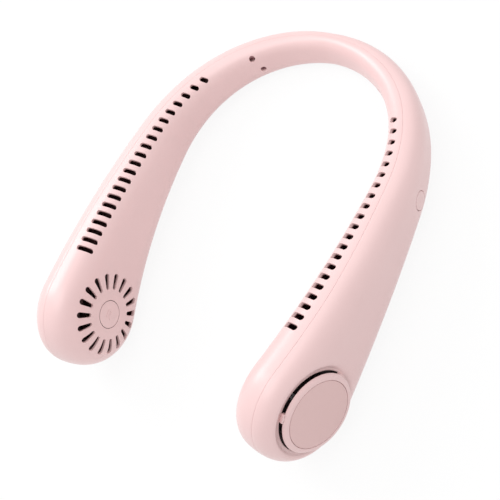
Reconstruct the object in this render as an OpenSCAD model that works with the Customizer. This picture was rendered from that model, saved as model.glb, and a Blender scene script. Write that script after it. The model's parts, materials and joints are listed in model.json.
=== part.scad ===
// Bladeless neck fan: a rigid moulded neckband with a round fan pod at the end of each arm.
// It lies as it does on a table, on the two pods and the middle of the nape.
// X runs across the band to the wearer's left, Y to the nape and Z up.
// The origin is on the table, under the middle of the band's outline.

/* [Plan of the neckband] */
// Radius of the centreline round the nape
nape_r = 76.5; // [66:0.5:90]
// Angle that each half of the nape turns through
nape_turn = 69.8; // [60:0.1:72]
// Radius of the centreline over the shoulders
shoulder_r = 95; // [85:1:120]
// Angle that the centreline turns through over each shoulder
shoulder_turn = 17.7; // [12:0.1:22]
// Radius of the nearly straight arms
arm_r = 514; // [400:1:700]
// Length of each arm, from the shoulder to the pod's centre
arm_run = 106.8; // [100:0.1:125]

/* [Section of the neckband] */
// Depth of the band at the nape, from its top edge to its lower edge
nape_depth = 20.3; // [19:0.1:24]
// Radius of each round pod, seen from the side
pod_r = 30.3; // [29:0.1:33]
// Radius of the long sweep of the lower edge, from the nape to the pod
throat_r = 646; // [600:1:690]
// Thickness from the centreline to the inner face, at the nape
nape_inner_w = 6; // [5.5:0.1:8]
// Thickness from the centreline to the outer face, at the nape
nape_outer_w = 4.9; // [4.5:0.1:8]
// Thickness from the centreline to the inner face, at the pod
pod_inner_w = 17; // [16:0.1:19]
// Thickness from the centreline to the outer face, at the pod
pod_outer_w = 16.8; // [16:0.1:19]
// Wall of the moulded shells
wall = 1.8; // [1.2:0.1:2.2]
// How far the parting line lies outside the centreline, at the pod
seam_out = 3.5; // [0:0.1:5]
// Slope of the outer face, which looks a little upward at the pod
outer_lean_share = 0.07; // [0:0.01:0.1]
// Slope of the inner face, which looks upward as well
inner_lean_share = 0.09; // [0:0.01:0.12]

/* [Air vents] */
// Number of vents along each arm
vent_count = 21; // [12:1:22]
// Distance from one vent to the next, along the centreline of the arm
vent_pitch = 5.7; // [5:0.05:5.9]
// Extra length that the last vents spread over, as the band turns behind the neck
vent_spread = 9.5; // [0:0.5:10]
// Distance from the pod's centre back to the first vent
vent_start = 23.3; // [22:0.1:26]
// Width of a vent
vent_w = 2.4; // [1.6:0.1:3]
// Distance from the centreline to the outer end of the vent nearest the pod
vent_out_front = 2; // [1.5:0.1:3.5]
// Distance from the centreline to the outer end of the vent nearest the nape
vent_out_back = 3.5; // [2:0.1:4]
// Reach of the vent nearest the pod, from the centreline to its inner end
vent_reach_front = 10.4; // [8:0.1:12]
// Reach of the vent nearest the nape
vent_reach_back = 7.3; // [6.5:0.1:8]

/* [Side grille] */
// Number of slots in the round grille on each pod's inner face
slot_count = 18; // [12:1:20]
// Radius at which the slots start
slot_r_in = 13.9; // [12:0.1:15]
// Radius at which the slots end
slot_r_out = 22.2; // [20:0.1:23]
// Width of a slot at its outer end
slot_w_out = 2.7; // [2:0.1:3]
// Width of a slot at its inner end
slot_w_in = 1.5; // [1:0.1:2]
// Radius of the small marker disc in the grille's middle
disc_r = 7.5; // [6:0.1:9]
// Thickness of the marker disc
disc_t = 0.9; // [0.6:0.1:1]

/* [Intake cap] */
// Distance of the cap's face from the middle of the pod
cap_out = 17.2; // [16.6:0.1:17.6]
// Slope of the cap, which looks a little upward
cap_lean_share = 0.117; // [0:0.001:0.13]
// Slope of the cap, which looks a little forward
cap_turn_share = 0.055; // [0:0.001:0.07]
// Radius of the intake cap
cap_r = 20.8; // [20:0.1:21.5]
// Radius of the flat inlay in the cap
inlay_r = 17.9; // [16:0.1:18.4]
// Thickness of the inlay
inlay_t = 0.9; // [0.6:0.1:1.2]
// Thickness of the cap
cap_h = 2.1; // [1.8:0.1:2.4]
// Fall of the cap's bevel from the inlay to the rim
bevel_fall = 1.5; // [1:0.1:1.7]
// Height of the air gap between the cap and the dished intake
intake_gap = 1.5; // [1.2:0.1:1.8]
// Radius of the round intake
opening_r = 20.6; // [20:0.1:21]
// Radius of the dish round the intake
dish_r = 24.8; // [23.5:0.1:26]
// Number of tabs that carry the cap
tab_count = 3; // [2:1:6]
// Width of a tab
tab_w = 4.4; // [3:0.1:6]

/* [Fan wheel] */
// Radius of the fan wheel
wheel_r = 21; // [19:0.1:21.3]
// Radius at which the blades start
blade_r_in = 15.4; // [14:0.1:17]
// Number of blades on each side of the wheel
blade_count = 28; // [12:1:36]
// Thickness of a blade
blade_t = 0.8; // [0.6:0.05:1.1]
// Height of the blades that draw air through the intake gap
blade_h_outer = 10.9; // [8:0.1:11]
// Height of the blades that draw air through the side grille
blade_h_inner = 7.4; // [6:0.1:7.6]
// Thickness of the wheel's plate and end rings
plate_t = 1; // [0.8:0.1:1.4]

/* [Motor] */
// Radius of the motor's shaft
shaft_r = 1; // [0.8:0.05:1.2]
// Radial clearance of the shaft in its bearing
shaft_fit = 0.04; // [0.02:0.01:0.08]
// Radius of the bearing tube
tube_r = 2.4; // [2.1:0.05:2.6]
// Radius of the rotor can
can_r = 10.6; // [10:0.1:12]
// Wall of the rotor can
can_wall = 0.8; // [0.6:0.1:1]
// Thickness of the magnet ring
magnet_t = 1.2; // [0.8:0.1:1.4]
// Air gap between the magnets and the stator
air_gap = 0.4; // [0.3:0.05:0.6]
// Height of the stator's core
core_h = 3.8; // [3:0.1:4]
// Number of wound poles
pole_count = 9; // [6:3:12]

/* [Air path and cells] */
// Gap between the fan wheel and the scroll's tongue
tongue_gap = 1.1; // [0.8:0.1:1.3]
// Thickness of the scroll wall and the duct floor
liner_t = 1; // [0.8:0.1:1.2]
// Radius of a battery cell
cell_r = 7; // [5:0.1:7.2]
// Distance from the pod's centre back to the front end of a cell
cell_front = 33; // [31:0.1:36]
// Room for the leads between the board and a cell
lead_room = 17.3; // [14:0.1:20]

/* [Controls] */
// Radius of the power button
button_r = 5; // [4:0.1:5.4]
// Travel of the power button
button_travel = 0.5; // [0.3:0.05:0.6]
// Distance of the button from the middle of the nape, along the centreline
button_run = 118; // [112:0.5:124]
// Clearance round the button
button_fit = 0.15; // [0.1:0.01:0.25]
// Width of the charging socket
socket_w = 8.9; // [8.5:0.1:9.2]
// Thickness of the charging socket
socket_t = 3.2; // [3:0.1:3.4]
// Radius of the recesses over the screws
screw_recess_r = 1.7; // [1.5:0.05:2]

/* [Hidden] */

pink = [0.91, 0.76, 0.75];
inlay_pink = [0.87, 0.72, 0.71];
wheel_pink = [0.80, 0.62, 0.62];

// Shares and powers of the section's rounded form
inner_power = 2.4;
outer_power = 2.7;
swell_power = 0.53;
nape_round_share = 0.87;
pod_round_share = 0.64;
seam_shares = [0.12, 0.75];
overrun = 1;
fuse = 0.2;
seat_gap = 0.05;
run_gap = 0.25;
liner_gap = 0.5;

// Plan: three arcs that run on from one another
nape_run = nape_r * nape_turn * PI / 180;
shoulder_run = shoulder_r * shoulder_turn * PI / 180;
pod_run = nape_run + shoulder_run + arm_run;
shoulder_from = 90 - nape_turn;
arm_from = shoulder_from - shoulder_turn;
function along(a) = [cos(a), sin(a)];
nape_mid = [0, -nape_r];
shoulder_mid = nape_mid + (nape_r - shoulder_r) * along(shoulder_from);
arm_mid = shoulder_mid + (shoulder_r - arm_r) * along(arm_from);
function bend(run, r) = run / r * 180 / PI;
// Direction that faces outward, away from the neck, as an angle in plan
function outward(s) = s < nape_run ? 90 - bend(s, nape_r)
    : s < nape_run + shoulder_run ? shoulder_from - bend(s - nape_run, shoulder_r)
    : arm_from - bend(s - nape_run - shoulder_run, arm_r);
function centre(s) = s < nape_run ? nape_mid + nape_r * along(outward(s))
    : s < nape_run + shoulder_run ? shoulder_mid + shoulder_r * along(outward(s))
    : arm_mid + arm_r * along(outward(s));

// Side outline: a straight top edge, a round pod and one long sweep below
throat_rise = sqrt(pow(pod_r + throat_r, 2) - pow(throat_r + nape_depth - pod_r, 2));
throat_from = max(0, pod_run - throat_rise);
throat_drop = throat_r - sqrt(throat_r * throat_r - pow(pod_run - throat_rise - throat_from, 2));
throat_to = pod_run - throat_rise * pod_r / (pod_r + throat_r);
function sweep_drop(s) = throat_r - sqrt(throat_r * throat_r - pow(s - pod_run + throat_rise, 2));
function depth(s) = s <= throat_from ? nape_depth
    : s < throat_to ? nape_depth + (sweep_drop(s) - throat_drop * (1 - s / pod_run))
    : pod_r + sqrt(pod_r * pod_r - pow(pod_run - min(s, pod_run), 2));
function growth(s) = max(0, (depth(s) - nape_depth) / (2 * pod_r - nape_depth));
function swell(s) = pow(growth(s), swell_power);
function half(s) = depth(s) / 2;
function width(s, face) = face < 0
    ? nape_inner_w + (pod_inner_w - nape_inner_w) * swell(s)
    : nape_outer_w + (pod_outer_w - nape_outer_w) * swell(s);
function rounding(s) = half(s) * (nape_round_share + (pod_round_share - nape_round_share) * growth(s));
function power(face) = face < 0 ? inner_power : outer_power;
function ease(x, a, b) = let (k = min(1, max(0, (x - a) / (b - a)))) k * k * (3 - 2 * k);
function seam(s) = seam_out * ease(growth(s), seam_shares[0], seam_shares[1]);
function lean_share(face) = face < 0 ? inner_lean_share : outer_lean_share;
function leaned(n, s, z, face) = face * n * (1 - lean_share(face) * growth(s) * z / width(s, face));

// Thickness of the section at a depth d in from its edge, with the skin set in by t
function swollen(d, s, face, t) = let (
        p = power(face),
        q = max(0, 1 - d / (rounding(s) - t)))
    (width(s, face) - t) * pow(max(0, 1 - pow(q, p)), 1 / p);
// Thickness of the section at height z over its middle
function reach(s, z, face, t) = leaned(swollen(half(s) - t - abs(z), s, face, t), s, z, face);

// Stations along one arm: [run along the centreline, share of the pod's radius past its centre]
arm_step_count = 19;
back_step_count = 6;
pod_step_count = 7;
pod_last_turn = 88;
back_turn = asin((pod_run - throat_to) / pod_r);
arm_stations = concat([for (i = [0 : arm_step_count]) [throat_to * i / arm_step_count, 0]],
    [for (i = [1 : back_step_count]) [pod_run - pod_r * sin(back_turn * (1 - i / back_step_count)), 0]]);
pod_stations = [for (i = [1 : pod_step_count]) [pod_run, sin(pod_last_turn * i / pod_step_count)]];
half_stations = concat(arm_stations, pod_stations);
last_station = len(half_stations) - 1;

// A point of the skin, at angle th round the section from its top edge
function section_point(st, face, t, th) = let (
        s = st[0],
        k = st[1],
        p = power(face),
        h = half(s) - t,
        e = rounding(s) - t,
        u = pow(abs(cos(th)), 2 / p),
        z = sign(cos(th)) * (h - e * (1 - u)) * sqrt(1 - k * k),
        d = k == 0 ? e * (1 - u) : h - norm([k * h, z]),
        n = k == 0 ? (width(s, face) - t) * pow(sin(th), 2 / p) : swollen(d, s, face, t))
    [k * h, leaned(n, s, z, face), z];
function seam_angle(n, s, t) = asin(pow(n / (width(s, 1) - t), outer_power / 2));
function seam_point(st, n, t, top) = let (
        a = seam_angle(n, st[0], t),
        q = section_point(st, 1, t, top ? a : 180 - a))
    [q[0], n, q[2]];

// Section coordinates [forward, outward, up] to places in the band's own frame, for either arm
function placed(st, q, side) = let (
        a = outward(st[0]),
        c = centre(st[0]) + q[1] * along(a) + q[0] * [sin(a), -cos(a)])
    [side * c[0], c[1], q[2] - half(st[0])];

row_count = 8;
function inner_rim(st, t) = concat([seam_point(st, seam(st[0]), t, true)],
    [for (j = [0 : row_count]) section_point(st, -1, t, 180 * j / row_count)],
    [seam_point(st, seam(st[0]), t, false)]);
function outer_rim(st, t) = let (n = seam(st[0]) + seat_gap, a = seam_angle(n, st[0], t)) concat(
    [seam_point(st, n, t, true)],
    [for (j = [1 : row_count - 1]) section_point(st, 1, t, a + (180 - 2 * a) * j / row_count)],
    [seam_point(st, n, t, false)]);
function reversed(v) = [for (i = [len(v) - 1 : -1 : 0]) v[i]];
function shell_ring(st, inner) = inner
    ? concat(inner_rim(st, 0), reversed(inner_rim(st, wall)))
    : concat(outer_rim(st, 0), reversed(outer_rim(st, wall)));
function full_ring(s, t) = let (rim = outer_rim([s, 0], t)) [
    for (q = concat(inner_rim([s, 0], t), [for (j = [row_count - 1 : -1 : 1]) rim[j]])) placed([s, 0], q, 1)];

// The rings of both arms, from the right pod round the nape to the left pod
function both_arms(rings) = concat(
    [for (i = [last_station : -1 : 1]) [for (q = rings[i]) placed(half_stations[i], q, -1)]],
    [for (i = [0 : last_station]) [for (q = rings[i]) placed(half_stations[i], q, 1)]]);
function flat_list(v) = [for (a = v) for (b = a) b];
function fan_faces(first, n) = [for (j = [1 : n - 2]) [first, first + j, first + j + 1]];
function turned(faces) = [for (f = faces) [f[2], f[1], f[0]]];

// A moulded half shell with open middle: its skin, its inside and its parting faces
module half_shell(inner) {
    rings = both_arms([for (st = half_stations) shell_ring(st, inner)]);
    n = len(rings[0]);
    m = n / 2;
    count = len(rings);
    end = (count - 1) * n;
    sides = [for (i = [0 : count - 2]) for (j = [0 : n - 1]) let (
            a = i * n + j,
            b = i * n + (j + 1) % n)
        each [[a, a + n, b], [b, a + n, b + n]]];
    seam_end = [[0, m - 1, m], [0, m, n - 1]];
    near_end = concat(fan_faces(0, m), fan_faces(m, m), seam_end);
    far_end = [for (f = near_end) [f[2] + end, f[1] + end, f[0] + end]];
    faces = concat(sides, near_end, far_end);
    polyhedron(flat_list(rings), inner ? faces : turned(faces));
}

// Rest on a table: tilt until the pods and the nape both touch, then centre the outline
skin_rings = [for (st = half_stations) concat(inner_rim(st, 0), outer_rim(st, 0))];
skin = flat_list([for (i = [0 : last_station]) [for (q = skin_rings[i]) placed(half_stations[i], q, 1)]]);
nape_skin = [for (p = skin) if (p[1] > -nape_r) p];
pod_skin = [for (p = skin) if (p[1] < -pod_run / 2) p];
function height(p, a) = p[1] * sin(a) + p[2] * cos(a);
function lowest(points, a) = min([for (p = points) height(p, a)]);
function settled(a, turns) = turns == 0 ? a
    : settled(a + (lowest(pod_skin, a) - lowest(nape_skin, a)) / pod_run * 180 / PI, turns - 1);
rest_tilt = settled(0, 12);
rest_low = lowest(skin, rest_tilt);
rest_ys = [for (p = skin) p[1] * cos(rest_tilt) - p[2] * sin(rest_tilt)];
rest_mid = (min(rest_ys) + max(rest_ys)) / 2;
module resting() translate([0, -rest_mid, -rest_low]) rotate([rest_tilt, 0, 0]) children();
module sided(side) mirror([side == "right" ? 1 : 0, 0, 0]) children();

// Local frames: X back along the band, Y up and Z outward
module at_station(s, up) translate([centre(s)[0], centre(s)[1], up - half(s)])
    rotate([90, 0, 90 + outward(s)]) children();
module in_pod() at_station(pod_run, 0) children();
inner_lean = atan(inner_lean_share);
cap_lean = atan(cap_lean_share);
cap_turn = atan(cap_turn_share);
cap_slope_share = norm([cap_lean_share, cap_turn_share]);
module in_cap() in_pod() translate([0, 0, cap_out]) rotate([-cap_lean, -cap_turn, 0]) children();
module in_disc() in_pod() rotate([inner_lean, 0, 0]) children();

// Heights in the pod, outward from its middle
disc_face = pod_inner_w * cos(inner_lean);
inner_floor = pod_inner_w - wall;
wheel_gap = 1.5;
wheel_clear = 0.7;
wheel_low = reach(pod_run, wheel_r, -1, wall) + wheel_clear;
plate_low = wheel_low + blade_h_inner + plate_t;
plate_top = plate_low + plate_t;
wheel_top = plate_top + blade_h_outer;
// Heights over the face of the cap
dish_low = -cap_h - intake_gap;
dish_t = 1.2;
dish_under = cap_out + dish_low - dish_t;
can_top = plate_low - seat_gap;
can_low = wheel_low + wheel_gap;
hub_wall = 0.9;
boss_r = 5;
boss_top = can_low - run_gap;
coil_rise = 0.6;
core_low = boss_top + 2 * coil_rise;
tube_low = -inner_floor + 2 * fuse;
tube_top = can_top - can_wall - 2 * run_gap;
shaft_low = tube_low + run_gap;
core_r = can_r - can_wall - magnet_t - air_gap;

// Vents: slots across the inner top edge, cut along the skin's own slope
// All of them lie parallel to the pod's axis, as the mould's slides cut them
spread_power = 4;
function vent_share(i) = i / (vent_count - 1);
function vent_run(i) = pod_run - vent_start - vent_pitch * i - vent_spread * pow(vent_share(i), spread_power);
function vent_slant(s) = outward(s) - outward(pod_run);
function vent_out(i) = vent_out_front + (vent_out_back - vent_out_front) * vent_share(i);
function vent_reach(i) = vent_reach_front + (vent_reach_back - vent_reach_front) * vent_share(i);
// Height of the inner skin, over the section's middle, at distance n from the centreline
function skin_height(s, n) = let (
        p = inner_power,
        m = n / (width(s, -1) - inner_lean_share * growth(s) * half(s)),
        q = pow(1 - pow(m, p), 1 / p))
    half(s) - rounding(s) * (1 - q);
vent_facet_count = 8;
module vent(i) {
    s = vent_run(i);
    slant = vent_slant(s);
    out_n = vent_out(i) + vent_w / 2;
    in_n = vent_reach(i) - vent_w / 2;
    out_z = skin_height(s, out_n);
    in_z = skin_height(s - (in_n - out_n) * tan(slant), in_n);
    across = (in_n - out_n) / cos(slant);
    slope = atan2(-across, in_z - out_z);
    span = norm([across, out_z - in_z]);
    at_station(s, 0) translate([0, out_z, -out_n]) rotate([0, -slant, 0]) rotate([slope, 0, 0])
        translate([0, 0, -2 * wall]) hull() {
            cylinder(r = vent_w / 2, h = 4 * wall, $fn = vent_facet_count);
            translate([0, span, 0]) cylinder(r = vent_w / 2, h = 4 * wall, $fn = vent_facet_count);
        }
}

// Side grille: tapering slots round the marker disc
grille_cut_t = pod_inner_w + wheel_low + overrun;
module grille_slot(a) rotate([0, 0, a]) hull() {
    translate([slot_r_in + slot_w_in / 2, 0, 0])
        cylinder(r = slot_w_in / 2, h = grille_cut_t, $fn = vent_facet_count);
    translate([slot_r_out - slot_w_out / 2, 0, 0])
        cylinder(r = slot_w_out / 2, h = grille_cut_t, $fn = vent_facet_count);
}
module grille_cuts() {
    in_pod() translate([0, 0, -pod_inner_w - overrun])
        for (i = [0 : slot_count - 1]) grille_slot(i * 360 / slot_count);
    in_disc() translate([0, 0, -disc_face - overrun])
        cylinder(r = disc_r + seat_gap + fuse, h = overrun + disc_t + seat_gap, $fn = 48);
}
module motor_boss() in_pod() difference() {
    translate([0, 0, -inner_floor - fuse]) cylinder(r = boss_r, h = boss_top + inner_floor + fuse, $fn = 32);
    translate([0, 0, tube_low - seat_gap]) cylinder(r = tube_r + seat_gap, h = 2 * boss_r, $fn = 32);
}

// Screws that join the shells behind the ears: [run, share of the half depth]
screw_run = 47.5;
screw_step = 1.8;
screw_shares = [0.64, -0.19];
screw_places = [for (i = [0, 1]) [screw_run + (i == 0 ? screw_step : -screw_step), screw_shares[i]]];
screw_shank_r = 0.9;
screw_head_r = 1.5;
screw_head_t = 1.1;
screw_sunk = 2.2;
seat_wall = 1.4;
post_r = 1.8;
function screw_face(k) = reach(k[0], half(k[0]) * k[1], -1, 0);
function screw_seat(k) = screw_face(k) + screw_sunk;
function post_foot(k) = screw_seat(k) + seat_wall + seat_gap;
function post_top(k) = reach(k[0], half(k[0]) * k[1], 1, wall / 2);
module at_screws() for (side = ["left", "right"]) sided(side) for (k = screw_places)
    at_station(k[0], half(k[0]) * k[1]) {
        $screw = k;
        children();
    }
clip_half = 2 * post_r + 2 * screw_step;
clip_runs = [screw_run - clip_half, screw_run, screw_run + clip_half];
module near_screws() for (side = ["left", "right"]) sided(side)
    hull() swept([for (s = clip_runs) full_ring(s, wall / 2)]);
module screw_boss() translate([0, 0, screw_face($screw) + wall / 2])
    cylinder(r = screw_recess_r + seat_wall, h = screw_sunk + seat_wall - wall / 2, $fn = 24);
module screw_hole() {
    translate([0, 0, screw_face($screw) - overrun])
        cylinder(r = screw_recess_r, h = screw_sunk + overrun, $fn = 24);
    translate([0, 0, screw_face($screw)])
        cylinder(r = screw_shank_r + seat_gap, h = screw_sunk + seat_wall + overrun, $fn = 24);
}
module screw_post() difference() {
    translate([0, 0, post_foot($screw)])
        cylinder(r = post_r, h = post_top($screw) - post_foot($screw), $fn = 24);
    translate([0, 0, post_foot($screw) - overrun])
        cylinder(r = screw_shank_r + seat_gap, h = post_top($screw) - post_foot($screw), $fn = 24);
}
module shell_screws() color("dimgray") resting() at_screws() {
    translate([0, 0, screw_seat($screw) - screw_head_t]) difference() {
        cylinder(r = screw_head_r, h = screw_head_t, $fn = 32);
        translate([0, 0, -overrun]) cylinder(r = screw_head_r / 2, h = overrun + screw_head_t / 2, $fn = 6);
    }
    translate([0, 0, screw_seat($screw) - fuse])
        cylinder(r = screw_shank_r, h = post_top($screw) - wall - screw_seat($screw), $fn = 32);
}

module inner_shell() color(pink) resting() {
    difference() {
        union() {
            half_shell(true);
            for (side = ["left", "right"]) sided(side) motor_boss();
            intersection() {
                at_screws() screw_boss();
                near_screws();
            }
        }
        for (side = ["left", "right"]) sided(side) {
            for (i = [0 : vent_count - 1]) vent(i);
            grille_cuts();
        }
        at_screws() screw_hole();
    }
}

// Tabs that stand on the dish round the intake and carry the cap
first_tab_turn = 122;
tab_in = 1.4;
tab_out = 1;
module cap_tab_place() for (i = [0 : tab_count - 1])
    rotate([0, 0, first_tab_turn + i * 360 / tab_count]) children();

// The dished lead-in round the intake: a level rim, then a hollow curve up to the skin
dish_rim = cap_r + tab_out + fuse;
dish_rise = 3.4;
dish_step_count = 5;
dish_turn = 78;
function dish_point(k) = [
    dish_rim + (dish_r - dish_rim) * sin(dish_turn * k) / sin(dish_turn),
    dish_low + dish_rise * (1 - cos(dish_turn * k)) / (1 - cos(dish_turn))];
dish_curve = [for (i = [0 : dish_step_count]) dish_point(i / dish_step_count)];
pod_rings = [for (st = half_stations) if (st[0] > pod_run - dish_r - wall)
    [for (q = concat(inner_rim(st, wall / 2), reversed(outer_rim(st, wall / 2)))) placed(st, q, 1)]];
module near_pods() for (side = ["left", "right"]) sided(side) hull() swept(pod_rings);
module dish_walls() for (side = ["left", "right"]) sided(side) in_cap() rotate_extrude($fn = 72)
    polygon(concat([[opening_r - fuse, dish_low - dish_t], [opening_r - fuse, dish_low + fuse]],
        [for (q = dish_curve) [q[0] - fuse, q[1] + fuse]],
        [[dish_r + wall, dish_low + dish_rise], [dish_r + wall, dish_low - dish_t + dish_rise / 2],
        [dish_rim + wall, dish_low - dish_t]]));
// Ribs under the dish where the tabs stand
module dish_ribs() for (side = ["left", "right"]) sided(side) in_cap() cap_tab_place() hull() {
    translate([opening_r - fuse, -tab_w / 2, dish_low - dish_t - fuse]) cube([wall, tab_w, dish_t + 2 * fuse]);
    translate([dish_r, -tab_w / 2, dish_low]) cube([wall + fuse, tab_w, dish_rise + fuse]);
}
// The round intake and the hollow of the dish, open to the outside
module dish_cuts() for (side = ["left", "right"]) sided(side) in_cap() rotate_extrude($fn = 72)
    polygon(concat([[0, -cap_out], [opening_r, -cap_out], [opening_r, dish_low]],
        dish_curve, [[dish_r, cap_out], [0, cap_out]]));

// Power button, its switch and board, and the charging socket
button_share = -0.2;
button_up = button_share * half(button_run);
button_face = reach(button_run, button_up, 1, 0);
button_inside = button_face - wall;
button_proud = 0.4;
flange_t = 0.8;
flange_w = 0.7;
flange_r = button_r + flange_w;
flange_sag = flange_r * flange_r / (2 * shoulder_r);
flange_top = reach(button_run, button_up - flange_r, 1, wall) - flange_sag - run_gap;
flange_low = flange_top - flange_t;
switch_w = 6;
switch_t = 2.2;
switch_top = flange_low - button_travel - run_gap;
switch_low = switch_top - switch_t;
plunger_r = 1.4;
plunger_sunk = 1;
board_t = 1;
board_len = 26;
board_up = 1.4;
board_low_gap = 4.2;
board_down = half(button_run) - board_low_gap;
board_rise = 3.4;
socket_deep = 7.3;
socket_inset = 0.6;
socket_wall = 0.3;
socket_n = seam(button_run) + seat_gap + run_gap + wall / 2 + socket_t / 2;
notch_x = socket_w / 2 + seat_gap;
notch_top = socket_inset + socket_deep + seat_gap - half(button_run);
board_post_x = 11;
board_post_r = 1.6;
board_post_y = -9;
board_post_sag = board_post_x * board_post_x / (2 * shoulder_r);
module board_post(x) translate([x, board_post_y, switch_low + seat_gap]) cylinder(r = board_post_r,
    h = reach(button_run - x, board_post_y, 1, wall / 2) - board_post_sag - switch_low, $fn = 24);

module at_button() at_station(button_run, button_up) children();
module at_board() at_station(button_run, 0) children();
module at_socket() at_board() translate([0, socket_inset - half(button_run), socket_n])
    rotate([-90, 0, 0]) children();
module slot_outline(w, t) {
    for (x = [-1, 1]) translate([x * (w - t) / 2, 0]) circle(r = t / 2, $fn = 32);
    square([w - t, t], center = true);
}
socket_side = (socket_w - socket_t) / 2;
module socket_cut() at_socket() translate([0, 0, -2 * wall]) hull() for (x = [-socket_side, socket_side])
    translate([x, 0, 0]) cylinder(r = socket_t / 2 + run_gap, h = 4 * wall, $fn = 24);

module outer_shell() color(pink) resting() {
    difference() {
        union() {
            half_shell(false);
            intersection() {
                union() {
                    dish_walls();
                    dish_ribs();
                }
                near_pods();
            }
            intersection() {
                at_screws() screw_post();
                near_screws();
            }
            at_board() for (x = [-board_post_x, board_post_x]) board_post(x);
        }
        dish_cuts();
        at_button() translate([0, 0, button_inside - wall])
            cylinder(r = button_r + button_fit, h = 3 * wall, $fn = 48);
        socket_cut();
    }
}

// Intake cap: a bevelled disc with a recess for its inlay, on short tabs
rim_w = 1.2;
groove_r = inlay_r + seat_gap + fuse / 2;
module intake_cap(side) color(pink) resting() sided(side) in_cap() {
    rotate_extrude($fn = 128) polygon([
        [0, -cap_h],
        [cap_r - rim_w / 2, -cap_h],
        [cap_r, -cap_h + rim_w / 4],
        [cap_r, -bevel_fall],
        [inlay_r + rim_w / 2, 0],
        [groove_r, 0],
        [groove_r, -inlay_t - seat_gap],
        [0, -inlay_t - seat_gap]]);
    cap_tab_place() translate([cap_r - tab_in, -tab_w / 2, dish_low + seat_gap])
        cube([tab_in + tab_out, tab_w, intake_gap + fuse - seat_gap]);
}
module cap_inlay(side) color(inlay_pink) resting() sided(side) in_cap()
    translate([0, 0, -inlay_t - seat_gap / 2]) cylinder(r = inlay_r, h = inlay_t, $fn = 128);
module side_disc(side) color(pink) resting() sided(side) in_disc()
    translate([0, 0, -disc_face]) cylinder(r = disc_r, h = disc_t, $fn = 96);

// Scroll: a spiral wall round the fan wheel that opens into the arm's air duct
floor_share = 0.375;
function floor_z(s) = -floor_share * depth(s);
tongue_r = wheel_r + tongue_gap;
tongue_angle = asin((pod_r + floor_z(pod_run - wheel_r)) / tongue_r);
scroll_turn = 288;
scroll_step_count = 24;
liner_inset = wall + liner_gap;
scroll_end_r = pod_r - liner_inset - liner_t;
function spiral(k, t) = let (a = tongue_angle - scroll_turn * k)
    (tongue_r + (scroll_end_r - tongue_r) * k + t) * along(a);
function cavity_reach(r, face) = let (
        d = pod_r - liner_inset - r,
        n = leaned(swollen(d, pod_run, face, liner_inset), pod_run, r, face))
    min(n, dish_under - run_gap - cap_slope_share * pod_r);
module pod_cavity() {
    shares = [for (i = [0 : row_count]) sin(90 * i / row_count)];
    deep_r = pod_r - liner_inset;
    rotate_extrude($fn = 96) polygon(concat(
        [for (k = shares) [deep_r * k, cavity_reach(deep_r * k, -1)]],
        [for (k = reversed(shares)) if (k < 1) [deep_r * k, cavity_reach(deep_r * k, 1)]]));
}
module scroll_wall(side) color(pink) resting() sided(side) in_pod() intersection() {
    translate([0, 0, -pod_inner_w]) linear_extrude(pod_inner_w + pod_outer_w) polygon(concat(
        [for (i = [0 : scroll_step_count]) spiral(i / scroll_step_count, 0)],
        [for (i = [scroll_step_count : -1 : 0]) spiral(i / scroll_step_count, liner_t)]));
    pod_cavity();
}

// Duct floor: a curved shelf under the vents that closes the duct behind the last one
duct_from = vent_run(vent_count - 1) - 2 * vent_w;
tongue_low = tongue_r * sin(tongue_angle) - liner_t;
duct_to = pod_run - sqrt(pow(tongue_r + liner_t + run_gap + fuse, 2) - tongue_low * tongue_low);
duct_step_count = 20;
duct_ramp = 3 * vent_w;
duct_roof = -wall - liner_t - run_gap;
function shelf_z(s) = duct_roof + (floor_z(s) - duct_roof) * ease(s, duct_from, duct_from + duct_ramp);
function shelf_corner(s, z, face) = [0, reach(s, z + half(s), face, liner_inset), z + half(s)];
function shelf_ring(s) = let (top = shelf_z(s), low = top - liner_t) [
    for (c = [[top, -1], [top, 1], [low, 1], [low, -1]]) placed([s, 0], shelf_corner(s, c[0], c[1]), 1)];
module swept(rings) {
    n = len(rings[0]);
    end = (len(rings) - 1) * n;
    sides = [for (i = [0 : len(rings) - 2]) for (j = [0 : n - 1]) let (
            a = i * n + j,
            b = i * n + (j + 1) % n)
        each [[a, b, a + n], [b, b + n, a + n]]];
    near_end = turned(fan_faces(0, n));
    polyhedron(flat_list(rings), concat(sides, near_end, fan_faces(end, n)));
}
cell_from = button_run + board_len / 2 + lead_room;
cell_to = pod_run - cell_front;
cell_len = cell_to - cell_from;
cell_run = (cell_from + cell_to) / 2;
function bay_mid(s) = (floor_z(s) - liner_t + wall - depth(s)) / 2;
cell_slope = atan((bay_mid(cell_run - cell_len / 2) - bay_mid(cell_run + cell_len / 2)) / cell_len);
module at_cell() at_station(cell_run, half(cell_run) + bay_mid(cell_run)) rotate([0, 0, cell_slope])
    children();
saddle_t = 1.6;
saddle_w = 2 * cell_r + 2 * saddle_t;
function saddle_h(x) = let (s = cell_run - x)
    floor_z(s) - liner_t / 2 - bay_mid(cell_run) - x * tan(cell_slope);
module cell_saddles() at_cell() difference() {
    for (x = [-cell_len / 4, cell_len / 4]) translate([x - saddle_t / 2, 0, -saddle_w / 2])
        cube([saddle_t, saddle_h(x) * cos(cell_slope), saddle_w]);
    translate([-cell_len, 0, 0]) rotate([0, 90, 0])
        cylinder(r = cell_r + run_gap / 2, h = 2 * cell_len, $fn = 64);
}
module duct_floor(side) color(pink) resting() sided(side) {
    swept([for (i = [0 : duct_step_count]) shelf_ring(duct_from + (duct_to - duct_from) * i / duct_step_count)]);
    cell_saddles();
}

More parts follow.
